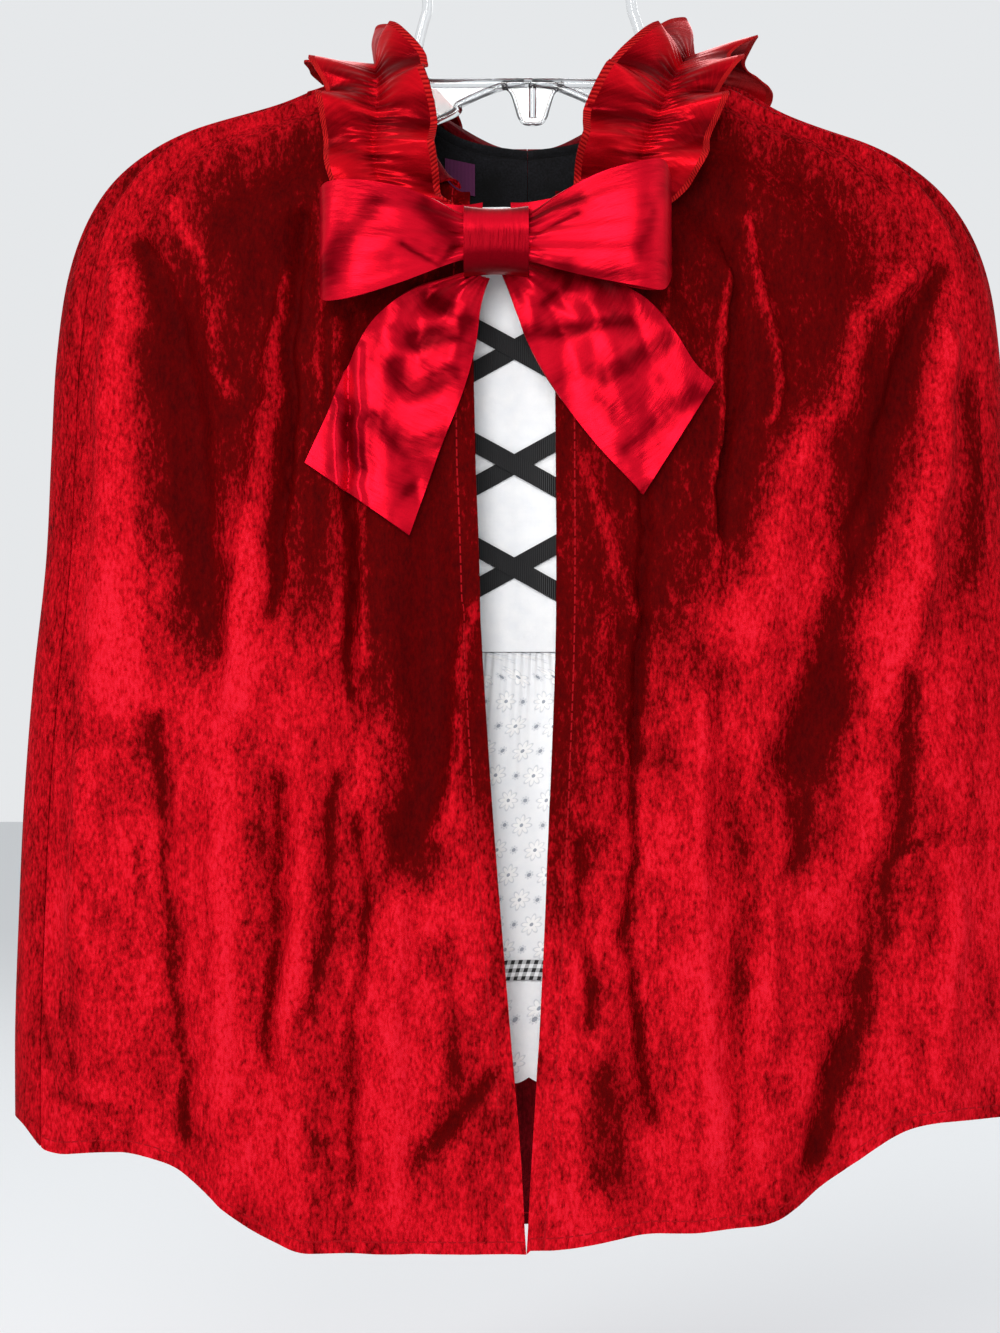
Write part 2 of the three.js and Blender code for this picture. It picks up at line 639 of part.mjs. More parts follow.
// Skirt and hem ruffle: each row is a level, with the half width and the depths front and back.
const skirtColumns = ['z', 'halfWidth', 'front', 'back', 'wave'];
const skirtRows = table(skirtColumns, [
  [-449.4, 126, 32, 27, 0.5],
  [-500, 148, 37, 31, 2.8],
  [-560, 166, 41, 33.5, 3],
  [-616.6, 180.5, 43.6, 35.7, 3.4],
  [-627.5, 183, 44, 36, 3.5],
]);
const hemRows = table(skirtColumns, [
  [-628, 183.5, 44, 36, 3.5],
  [-655, 191, 47, 37.5, 4],
  [-683, 197, 50, 39, 4.5],
]);
const skirtWaves = 13;
const ginghamTopLevel = 3 / 4;

function skirtPanel(rows, forward, lift = 0) {
  return (u, v) => {
    const row = between(rows, v);
    const edge = seamHalf / row.halfWidth;
    const angle = mix(-Math.PI / 2 + edge, Math.PI / 2 - edge, u);
    const edgeFade = smoothStep(0, 0.04, u) * smoothStep(0, 0.04, 1 - u);
    const push = lift + row.wave * edgeFade * Math.cos(u * skirtWaves * 2 * Math.PI);
    const depth = forward < 0 ? row.front : row.back;
    return new THREE.Vector3(
      (row.halfWidth + push) * Math.sin(angle),
      forward * (depth + push) * Math.cos(angle) + forward * seamHalf,
      row.z,
    );
  };
}

const skirtWall = { columns: 52, thickness: cottonThickness };
for (const [name, forward, facing] of [['front', -1, -1], ['back', 1, 1]]) {
  const skirt = clothWall(skirtPanel(skirtRows, forward), { ...skirtWall, rows: 4, facing });
  const hem = clothWall(skirtPanel(hemRows, forward), { ...skirtWall, rows: 2, facing });
  const onSkirt = skirtPanel(skirtRows, forward, 2 * ribbonLift + 1.6 * ribbonThickness);
  const ginghamSurface = (u, v) => onSkirt(u, mix(ginghamTopLevel, 1, v));
  const ginghamWall = { columns: skirtWall.columns, rows: 1, thickness: ribbonThickness, facing };
  const gingham = clothWall(ginghamSurface, ginghamWall);
  addPiece(`skirt_${name}`, skirt, 'whiteCotton');
  addPiece(`gingham_${name}`, gingham, 'checkRibbon');
  addPiece(`hem_ruffle_${name}`, hem, 'whiteCotton');
}

// Ribbon crosses: each ribbon is a slanted strip of the panel's own points moved out. The second
// ribbon of a cross steps over the first.
const crossHeights = { high: -283.5, middle: -346.5, low: -403 };
const crossSlope = 0.55;
const crossReach = 40.5;
const laceWidth = 10;
const laceStep = ribbonThickness + ribbonLift;

function laceStrip(centreZ, slopeSign, isOver) {
  return (u, v) => {
    const x = panelCentreX + mix(-crossReach, crossReach, u);
    const slant = Math.hypot(1, crossSlope);
    const z = centreZ + slopeSign * crossSlope * (x - panelCentreX) + laceWidth * slant * (0.5 - v);
    const row = between(bodice, mix(panelTopLevel, 1, 0.5));
    const over = isOver ? laceStep * (1 - smoothStep(11, 24, Math.abs(x - panelCentreX))) : 0;
    const depth = bodiceDepth(x, z, row.fullness, bodiceFrontDepth);
    return new THREE.Vector3(x, -depth - laceStep - over - 0.2, z);
  };
}

for (const [name, centreZ] of Object.entries(crossHeights)) {
  for (const [letter, slopeSign, isOver] of [['a', 1, false], ['b', -1, true]]) {
    const strip = laceStrip(centreZ, slopeSign, isOver);
    const wall = clothWall(strip, { columns: 12, rows: 1, thickness: ribbonThickness, facing: -1 });
    addPiece(`lace_${name}_${letter}`, wall, 'blackRibbon');
  }
}

// Label: it hangs inside the back neck, on the inner face of the left back.
const labelLift = 1;
const label = { left: -47, right: -30, top: -168, bottom: -186, tilt: 0.2 };

function labelSurface(u, v) {
  const x = mix(label.left, label.right, u);
  const z = mix(label.top, label.bottom, v) - label.tilt * (x - label.left);
  const depth = bodiceDepth(x, z, bodice[0].fullness, bodiceBackDepth);
  return new THREE.Vector3(x, depth - velvetThickness - labelLift, z);
}

const labelWall = { columns: 3, rows: 2, thickness: 0.8, facing: 1 };
addPiece('neck_label', clothWall(labelSurface, labelWall), 'purpleLabel');

// Hanger: rods and plates of clear plastic joined into one solid.
const hanger = {
  hookRadius: 25,
  hookRod: 3,
  loopRod: 3,
  barZ: -130.5,
  topZ: -74,
  tabHalfWidth: 24,
  tabDrop: 21,
  plateHalf: 1.5,
  ribHalf: 2.4,
};

function toManifold(geometry) {
  const bare = geometry.index ? geometry.clone() : geometry;
  bare.deleteAttribute('normal');
  bare.deleteAttribute('uv');
  const merged = mergeVertices(bare, 1e-4);
  return new wasm.Manifold(
    new wasm.Mesh({
      numProp: 3,
      vertProperties: new Float32Array(merged.attributes.position.array),
      triVerts: new Uint32Array(merged.index.array),
    }),
  );
}

function fromManifold(solid) {
  const mesh = solid.getMesh();
  const geometry = new THREE.BufferGeometry();
  geometry.setAttribute('position', new THREE.BufferAttribute(mesh.vertProperties, 3));
  geometry.setIndex(new THREE.BufferAttribute(mesh.triVerts, 1));
  geometry.computeVertexNormals();
  return geometry;
}

function rod(points, radius, steps, closed = false) {
  const section = new THREE.Shape().absarc(0, 0, radius, 0, 2 * Math.PI);
  const path = new THREE.CatmullRomCurve3(points, closed, 'centripetal');
  return toManifold(new THREE.ExtrudeGeometry(section, { steps, curveSegments: 3, extrudePath: path }));
}

// A flat plate in the hanger's plane from its outline in x and z.
function plate(outline, halfThickness) {
  const shape = new THREE.Shape(outline.map(([x, z]) => new THREE.Vector2(x, z)));
  const geometry = new THREE.ExtrudeGeometry(shape, { depth: halfThickness * 2, bevelEnabled: false });
  geometry.translate(0, 0, -halfThickness);
  geometry.rotateX(Math.PI / 2);
  return toManifold(geometry);
}

function hangerHook() {
  const points = [new THREE.Vector3(0, 0, hanger.topZ + 1)];
  const centreZ = -hanger.hookRadius + hanger.hookRod;
  points.push(new THREE.Vector3(0, 0, -60));
  for (let degrees = -50; degrees <= 200; degrees += 25) {
    const angle = THREE.MathUtils.degToRad(degrees);
    const x = hanger.hookRadius * Math.cos(angle);
    points.push(new THREE.Vector3(x, 0, centreZ + hanger.hookRadius * Math.sin(angle)));
  }
  return rod(points, hanger.hookRod, 22);
}

function hangerLoop() {
  const corners = [
    [-50, -75],
    [0, -72],
    [50, -75],
    [59, -92],
    [64.5, -112],
    [64, -126],
    [56, -130.5],
    [0, hanger.barZ],
    [-56, -130.5],
    [-63, -126],
    [-62, -112],
    [-57, -92],
  ];
  const points = corners.map(([x, z]) => new THREE.Vector3(x, 0, z));
  return rod(points, hanger.loopRod, 26, true);
}

const armEnd = { x: 205, top: -189.3, bottom: -199 };

function hangerArm(side) {
  const edge = [[-2, -130], [58, -129], [armEnd.x, armEnd.top], [armEnd.x, armEnd.bottom], [60, -154], [30, -142]];
  const web = plate(edge.map(([x, z]) => [side * x, z]), hanger.plateHalf);
  const upperLine = [[57, -127.2], [armEnd.x, armEnd.top]].map(([x, z]) => new THREE.Vector3(side * x, 0, z));
  const upper = rod(upperLine, hanger.ribHalf, 1);
  const lower = rod(
    [
      new THREE.Vector3(side * 6, 0, -133),
      new THREE.Vector3(side * 30, 0, -142),
      new THREE.Vector3(side * 60, 0, -154),
      new THREE.Vector3(side * armEnd.x, 0, armEnd.bottom),
    ],
    hanger.ribHalf,
    6,
  );
  return web.add(upper).add(lower);
}

function hangerTab() {
  const outline = [];
  for (let degrees = 180; degrees <= 360; degrees += 30) {
    const angle = THREE.MathUtils.degToRad(degrees);
    outline.push([hanger.tabHalfWidth * Math.cos(angle), hanger.barZ + hanger.tabDrop * Math.sin(angle)]);
  }
  return plate(outline, hanger.plateHalf);
}

const hangerSolid = hangerHook().add(hangerLoop()).add(hangerArm(-1)).add(hangerArm(1)).add(hangerTab());
addPiece('hanger', fromManifold(hangerSolid), 'clearPlastic');

export default costume;
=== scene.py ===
# Red riding hood costume on a clear plastic hanger: velvet cape, dropped hood, satin ruffle and bow over
# a sleeveless dress. Sizes are millimetres in the frame of the CAD model and become metres in the mesh.
import math

import bpy
import numpy as np
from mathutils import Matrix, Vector


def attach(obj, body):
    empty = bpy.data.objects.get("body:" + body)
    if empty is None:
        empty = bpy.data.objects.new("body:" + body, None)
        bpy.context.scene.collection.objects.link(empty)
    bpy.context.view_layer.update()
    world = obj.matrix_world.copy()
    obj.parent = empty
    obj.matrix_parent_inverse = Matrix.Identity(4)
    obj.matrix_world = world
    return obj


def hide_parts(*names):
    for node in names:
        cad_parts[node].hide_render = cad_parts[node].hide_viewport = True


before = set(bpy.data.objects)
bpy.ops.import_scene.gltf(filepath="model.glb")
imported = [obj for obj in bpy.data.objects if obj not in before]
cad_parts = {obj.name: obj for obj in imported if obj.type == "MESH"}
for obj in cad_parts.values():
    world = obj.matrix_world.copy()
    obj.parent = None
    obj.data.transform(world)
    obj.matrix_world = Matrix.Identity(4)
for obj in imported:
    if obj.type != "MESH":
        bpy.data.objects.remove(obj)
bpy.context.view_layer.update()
bpy.ops.object.select_all(action="DESELECT")

MILLIMETRE = 0.001

# Camera, floor and light

SENSOR_WIDTH = 36
CAMERA_DISTANCE = 1.5
HALF_VIEW_WIDTH = 0.3732
FLOOR_Z = -0.95
LIGHT_TARGET = Vector((0, 0, -0.42))

camera_data = bpy.data.cameras.new("photo_camera")
camera_data.sensor_width = SENSOR_WIDTH
camera_data.lens = SENSOR_WIDTH / 2 * CAMERA_DISTANCE / HALF_VIEW_WIDTH
camera = bpy.data.objects.new("photo_camera", camera_data)
bpy.context.collection.objects.link(camera)
camera.location = (-0.0157, -CAMERA_DISTANCE, -0.457)
camera.rotation_euler = (math.radians(90), 0, 0)
bpy.context.scene.camera = camera
bpy.context.scene.view_settings.view_transform = "Standard"


def linear(hex_colour):
    """A colour given as sRGB hex, as linear red, green, blue and alpha."""
    shares = [int(hex_colour[index:index + 2], 16) / 255 for index in (1, 3, 5)]
    return (*(s / 12.92 if s <= 0.04045 else ((s + 0.055) / 1.055) ** 2.4 for s in shares), 1)


def connect(tree, node, links):
    """Fills a node's inputs, each from a node, from a node and the name of its output, or with a value."""
    for socket, value in links.items():
        if isinstance(value, bpy.types.Node):
            tree.links.new(value.outputs[0], node.inputs[socket])
        elif isinstance(value, tuple) and isinstance(value[0], bpy.types.Node):
            tree.links.new(value[0].outputs[value[1]], node.inputs[socket])
        else:
            node.inputs[socket].default_value = value


def add(tree, kind, links=None, **settings):
    """Adds a shader node of a kind, such as Math or Mix, with its settings and links."""
    node = tree.nodes.new("ShaderNode" + kind)
    for setting, value in settings.items():
        setattr(node, setting, value)
    connect(tree, node, links or {})
    return node


def new_material(name):
    material = bpy.data.materials.new(name)
    material.use_nodes = True
    return material, material.node_tree, material.node_tree.nodes["Principled BSDF"]


def soft_light(name, place, size, watts, colour):
    light_data = bpy.data.lights.new(name, "AREA")
    light_data.shape = "DISK"
    light_data.size = size
    light_data.energy = watts
    light_data.color = colour
    light = bpy.data.objects.new(name, light_data)
    bpy.context.collection.objects.link(light)
    light.location = place
    light.visible_transmission = False
    light.rotation_euler = (LIGHT_TARGET - light.location).to_track_quat("-Z", "Y").to_euler()


soft_light("front_light", (-0.3, -1.9, 0.0), 0.9, 25, (1, 0.99, 0.98))
soft_light("key_light", (-1.3, -1.5, 0.9), 0.7, 17, (1, 0.985, 0.96))
soft_light("fill_light", (1.7, -1.2, 0.1), 1.2, 6, (0.96, 0.98, 1))
soft_light("back_light", (0.4, 2.0, 0.9), 1.4, 14, (1, 1, 1))

world = bpy.data.worlds.new("pale_studio")
bpy.context.scene.world = world
world.use_nodes = True
direction = add(world.node_tree, "TexCoord")
axes = add(world.node_tree, "SeparateXYZ", {0: (direction, "Generated")})
strength = add(world.node_tree, "MapRange", {"Value": (axes, "Y"), "From Min": -0.9, "From Max": 0.9,
                                             "To Min": 0.5, "To Max": 0.84})
connect(world.node_tree, world.node_tree.nodes["Background"],
        {"Color": (0.94, 0.96, 0.98, 1), "Strength": strength})

floor_material, floor_tree, floor_shader = new_material("pale_floor")
connect(floor_tree, floor_shader, {"Base Color": linear("#eceef0"), "Roughness": 0.8})
bpy.ops.mesh.primitive_plane_add(size=14, location=(0, 0, FLOOR_Z))
floor = bpy.context.object
floor.name = "floor"
floor.data.materials.append(floor_material)
bpy.ops.object.select_all(action="DESELECT")

# Shapes: tables of named columns, and the mesh of a cloth wall


def mix(first, second, share):
    return first + (second - first) * share


def smooth_step(low, high, value):
    share = np.clip((value - low) / (high - low), 0, 1)
    return share * share * (3 - 2 * share)


def bell(distance, width):
    return np.exp(-((distance / width) ** 2))


def unit(vectors):
    return vectors / np.linalg.norm(vectors, axis=-1, keepdims=True)


def table(columns, rows):
    return dict(zip(columns.split(), np.array(rows, float).T))


def between(rows, share):
    """Every column at a share of the way from the first row to the last, on a smooth curve."""
    count = len(next(iter(rows.values())))
    place = np.clip(share, 0, 1) * (count - 1)
    start = np.minimum(np.floor(place), count - 2).astype(int)
    t = place - start
    result = {}
    for name, column in rows.items():
        a, b, c, d = (column[np.clip(start + step, 0, count - 1)] for step in (-1, 0, 1, 2))
        result[name] = b + 0.5 * t * (c - a + t * (2 * a - 5 * b + 4 * c - d + t * (3 * (b - c) + d - a)))
    return result


def stack(x, y, z):
    return np.stack(np.broadcast_arrays(x, y, z), -1).astype(float)


def speckle(x, y, seed):
    """Smooth noise from -1 to 1 over whole-number cells, the same on each run."""
    def corner(cell_x, cell_y):
        value = np.sin(cell_x * 127.1 + cell_y * 311.7 + seed * 74.7) * 43758.5453
        return value - np.floor(value)

    cell_x, cell_y = np.floor(x), np.floor(y)
    share_x, share_y = smooth_step(0, 1, x - cell_x), smooth_step(0, 1, y - cell_y)
    low = mix(corner(cell_x, cell_y), corner(cell_x + 1, cell_y), share_x)
    high = mix(corner(cell_x, cell_y + 1), corner(cell_x + 1, cell_y + 1), share_x)
    return 2 * mix(low, high, share_y) - 1


def lengths_along(points, axis):
    steps = np.linalg.norm(np.diff(points, axis=axis), axis=-1)
    return np.concatenate([np.zeros_like(np.take(steps, [0], axis)), np.cumsum(steps, axis)], axis)


def cloth(name, surface, columns, rows, thickness, facing, materials, slot, cut, held, rests_on,
          node=None, around=False, painted_light_share=None, serged=0, uv_start=0):
    """A cloth wall whose outer face follows surface(u, v). Its UV map is millimetres along the cloth.
    cut is the width, length and, where the cut isn't a rectangle, the area before it was hung; it is not
    used. node is the CAD node, where its name isn't the piece's without the last word. serged is the width
    of the overlocked edges. uv_start keeps the topstitching off a piece that is joined at its first edge."""
    u, v = np.meshgrid(np.linspace(0, 1, columns + 1), np.linspace(0, 1, rows + 1))
    points = surface(u, v)
    flat_u = lengths_along(points, 1) + uv_start
    flat_v = lengths_along(points, 0)
    kept = columns if around else columns + 1
    row, column = np.meshgrid(np.arange(rows), np.arange(columns), indexing="ij")
    corner_rows = np.stack([row, row, row + 1, row + 1], -1).reshape(-1, 4)
    corner_columns = np.stack([column, column + 1, column + 1, column], -1).reshape(-1, 4)
    if facing < 0:
        corner_rows = corner_rows[:, ::-1]
        corner_columns = corner_columns[:, ::-1]
    faces = corner_rows * kept + corner_columns % kept
    mesh = bpy.data.meshes.new(name)
    mesh.from_pydata((points[:, :kept].reshape(-1, 3) * MILLIMETRE).tolist(), [], faces.tolist())
    uv = mesh.uv_layers.new(name="cloth_mm")
    uv_values = np.stack([flat_u[corner_rows, corner_columns], flat_v[corner_rows, corner_columns]], -1)
    uv.data.foreach_set("uv", uv_values.reshape(-1))
    above_hem = flat_v[-1:] - flat_v
    marks = {"hem": above_hem, "edge": (np.minimum(flat_v, above_hem) < serged).astype(float)}
    # The painted light share: painted sheen, painted highlight and painted shade, which the materials mix
    # into the colour.
    if painted_light_share is not None:
        marks["painted_light_share"] = painted_light_share(u, v, points)
    for mark, values in marks.items():
        attribute = mesh.attributes.new(mark, "FLOAT", "POINT")
        attribute.data.foreach_set("value", values[:, :kept].reshape(-1).astype(np.float32))
    for material in materials:
        mesh.materials.append(material)
    piece = bpy.data.objects.new(name, mesh)
    bpy.context.collection.objects.link(piece)
    wall = piece.modifiers.new("wall", "SOLIDIFY")
    wall.thickness = thickness * MILLIMETRE
    wall.offset = -1
    wall.material_offset = len(materials) - 1
    bpy.context.view_layer.objects.active = piece
    piece.select_set(True)
    bpy.ops.object.modifier_apply(modifier="wall")
    bpy.ops.object.shade_smooth_by_angle(angle=math.radians(60))
    bpy.ops.object.select_all(action="DESELECT")
    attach(piece, "root")
    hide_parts(node or name.rsplit("_", 1)[0])


# Materials

EYELET_PETALS = 8


def red_velvet(name, dark, painted_light, painted_highlight_colour, sheen):
    """Polyester panne velvet with a crushed pile. Its sheen is painted into the colour: a painted-shade
    colour where the painted light share is low and a painted-sheen colour where it is high, stirred by
    random crush, grain and streaks.
    """
    material, tree, shader = new_material(name)
    place = add(tree, "TexCoord")
    tall = add(tree, "Mapping", {"Vector": (place, "Object"), "Scale": (1, 1, 0.45)})
    grain = add(tree, "TexNoise", {"Vector": tall, "Scale": 560.0, "Detail": 3.0, "Roughness": 0.7})
    crush = add(tree, "TexNoise", {"Vector": tall, "Scale": 190.0, "Detail": 3.0, "Roughness": 0.6})
    painted_light_share = add(tree, "Attribute", attribute_name="painted_light_share")
    grain_depth = add(tree, "Math", {0: (painted_light_share, "Fac"), 1: 1.3, 2: 1.0}, operation="MULTIPLY_ADD")
    centred = add(tree, "Math", {0: grain, 1: -0.5}, operation="ADD")
    grain_part = add(tree, "Math", {0: centred, 1: grain_depth}, operation="MULTIPLY")
    crush_part = add(tree, "Math", {0: crush, 1: 0.5, 2: -0.25}, operation="MULTIPLY_ADD")
    hanging = add(tree, "Mapping", {"Vector": (place, "Object"), "Scale": (1, 1, 0.07)})
    streak = add(tree, "TexNoise", {"Vector": hanging, "Scale": 95.0, "Detail": 2.0})
    streaked = add(tree, "Math", {0: streak, 1: 0.4, 2: -0.2}, operation="MULTIPLY_ADD")
    crushed = add(tree, "Math", {0: crush_part, 1: streaked}, operation="ADD")
    uneven = add(tree, "Math", {0: grain_part, 1: crushed}, operation="ADD")
    # The level of painted sheen: random pile noise added to the painted light share.
    painted_sheen_level = add(tree, "Math", {0: uneven, 1: (painted_light_share, "Fac")}, operation="ADD")
    share = add(tree, "MapRange", {"Value": painted_sheen_level, "From Min": 0.22, "From Max": 0.84})
    painted_sheen_colour = add(tree, "Mix", {0: share, 6: linear(dark), 7: linear(painted_light)}, data_type="RGBA")

    # Painted highlight where the painted sheen is strongest, and painted deeper shade where it is weakest.
    painted_highlight_share = add(tree, "MapRange", {"Value": painted_sheen_level, "From Min": 0.8, "From Max": 1.2, "To Max": 0.6})
    highlighted_colour = add(tree, "Mix", {0: painted_highlight_share, 6: (painted_sheen_colour, 2), 7: linear(painted_highlight_colour)}, data_type="RGBA")
    painted_deep_shade_share = add(tree, "MapRange", {"Value": painted_sheen_level, "From Min": -0.2, "From Max": 0.2,
                                   "To Min": 0.6, "To Max": 0.0})
    colour = add(tree, "Mix", {0: painted_deep_shade_share, 6: (highlighted_colour, 2), 7: linear("#220001")}, data_type="RGBA")

    # Topstitching 10 mm from the front edge and 6.5 mm above the hem: 4 mm of thread, then a gap of 1.2 mm.
    cloth_map = add(tree, "SeparateXYZ", {0: (place, "UV")})
    hem = add(tree, "Attribute", attribute_name="hem")
    seams = (((cloth_map, "X"), (cloth_map, "Y"), 10.0), ((hem, "Fac"), (cloth_map, "X"), 6.5))
    line = stitched = 0.0
    for from_edge, along, inset in seams:
        near = add(tree, "Math", {0: from_edge, 1: inset, 2: 0.4}, operation="COMPARE")
        pace = add(tree, "Math", {0: along, 1: 2.6}, operation="PINGPONG")
        is_thread = add(tree, "Math", {0: pace, 1: 0.6}, operation="GREATER_THAN")
        stitch = add(tree, "Math", {0: near, 1: is_thread}, operation="MULTIPLY")
        line = add(tree, "Math", {0: line, 1: near}, operation="MAXIMUM")
        stitched = add(tree, "Math", {0: stitched, 1: stitch}, operation="MAXIMUM")
    thread = add(tree, "Mix", {0: stitched, 6: (colour, 2), 7: linear("#8c0c14")}, data_type="RGBA")

    pile = add(tree, "Math", {0: grain, 1: 0.5}, operation="MULTIPLY")
    relief = add(tree, "Math", {0: pile, 1: crush}, operation="ADD")
    sunk = add(tree, "Math", {0: line, 1: -0.7, 2: relief}, operation="MULTIPLY_ADD")
    bump = add(tree, "Bump", {"Strength": 0.35, "Distance": 0.0012, "Height": sunk})
    connect(tree, shader, {"Base Color": (thread, 2), "Normal": bump, "Roughness": 0.72,
                           "Specular IOR Level": 0.02, "Sheen Weight": sheen, "Sheen Roughness": 0.35,
                           "Sheen Tint": linear("#ff2a30")})
    return material


def red_satin(name, dark, painted_light, roughness, is_ruffle):
    """Polyester satin: long floats that shine along the folds, with fine creases from the gathers. The shine
    of its folds and creases is also painted into the colour, as painted highlight and painted shade.
    """
    material, tree, shader = new_material(name)
    place = add(tree, "TexCoord")
    lengthwise = (2.2, 0.35, 1) if is_ruffle else (0.35, 2.2, 1)
    creased = add(tree, "Mapping", {"Vector": (place, "UV"), "Scale": lengthwise})
    crease = add(tree, "TexNoise", {"Vector": creased, "Scale": 0.16, "Detail": 4.0, "Roughness": 0.6})
    thread = add(tree, "TexNoise", {"Vector": creased, "Scale": 1.1, "Detail": 2.0})
    painted_light_share = add(tree, "Attribute", attribute_name="painted_light_share")
    crease_part = add(tree, "Math", {0: crease, 1: 0.5, 2: -0.25}, operation="MULTIPLY_ADD")
    # The colour is mixed from a painted-shade dark and a painted-highlight bright by random creases and the
    # painted light share.
    streaked = add(tree, "Math", {0: crease_part, 1: (painted_light_share, "Fac")}, operation="ADD")
    share = add(tree, "MapRange", {"Value": streaked, "From Min": 0.1, "From Max": 0.9},
                interpolation_type="SMOOTHSTEP")
    colour = add(tree, "Mix", {0: share, 6: linear(dark), 7: linear(painted_light)}, data_type="RGBA")

    # The serged edge: matt thread that slants every 2.6 mm, twice as coarse as it is, so that it shows, with
    # painted shade between its loops.
    edge = add(tree, "Attribute", attribute_name="edge")
    is_edge = add(tree, "Math", {0: (edge, "Fac"), 1: 0.5}, operation="GREATER_THAN")
    cloth_map = add(tree, "SeparateXYZ", {0: (place, "UV")})
    slant = add(tree, "Math", {0: (cloth_map, "X"), 1: (cloth_map, "Y")}, operation="ADD")
    loops = add(tree, "Math", {0: slant, 1: 1.3}, operation="PINGPONG")
    dull = add(tree, "Mix", {0: loops, 6: linear("#6a0008"), 7: linear("#b81c1c")}, data_type="RGBA")
    final = add(tree, "Mix", {0: is_edge, 6: (colour, 2), 7: (dull, 2)}, data_type="RGBA")
    rough = add(tree, "Math", {0: is_edge, 1: 0.35, 2: roughness}, operation="MULTIPLY_ADD")
    edge_loops = add(tree, "Math", {0: is_edge, 1: loops}, operation="MULTIPLY")
    fine = add(tree, "Math", {0: thread, 1: 0.12, 2: crease}, operation="MULTIPLY_ADD")
    relief = add(tree, "Math", {0: edge_loops, 1: 1.2, 2: fine}, operation="MULTIPLY_ADD")
    bump = add(tree, "Bump", {"Strength": 0.25, "Distance": 0.0012, "Height": relief})
    connect(tree, shader, {"Base Color": (final, 2), "Normal": bump, "Roughness": rough, "Metallic": 0.45,
                           "Specular IOR Level": 0.35, "Specular Tint": linear("#ff3a44")})
    return material


def black_pile(name):
    """Black stretch velvet: short dense pile, nearly no gloss, a grey bloom at grazing angles."""
    material, tree, shader = new_material(name)
    place = add(tree, "TexCoord")
    grain = add(tree, "TexNoise", {"Vector": (place, "Object"), "Scale": 900.0, "Detail": 2.0})
    patch = add(tree, "TexNoise", {"Vector": (place, "Object"), "Scale": 60.0, "Detail": 3.0})
    uneven = add(tree, "Math", {0: grain, 1: patch}, operation="MULTIPLY")
    share = add(tree, "MapRange", {"Value": uneven, "From Min": 0.15, "From Max": 0.45})
    colour = add(tree, "Mix", {0: share, 6: linear("#050506"), 7: linear("#1b1b20")}, data_type="RGBA")
    bump = add(tree, "Bump", {"Strength": 0.4, "Distance": 0.0006, "Height": grain})
    connect(tree, shader, {"Base Color": (colour, 2), "Normal": bump, "Roughness": 0.85,
                           "Specular IOR Level": 0.15, "Sheen Weight": 0.12})
    return material


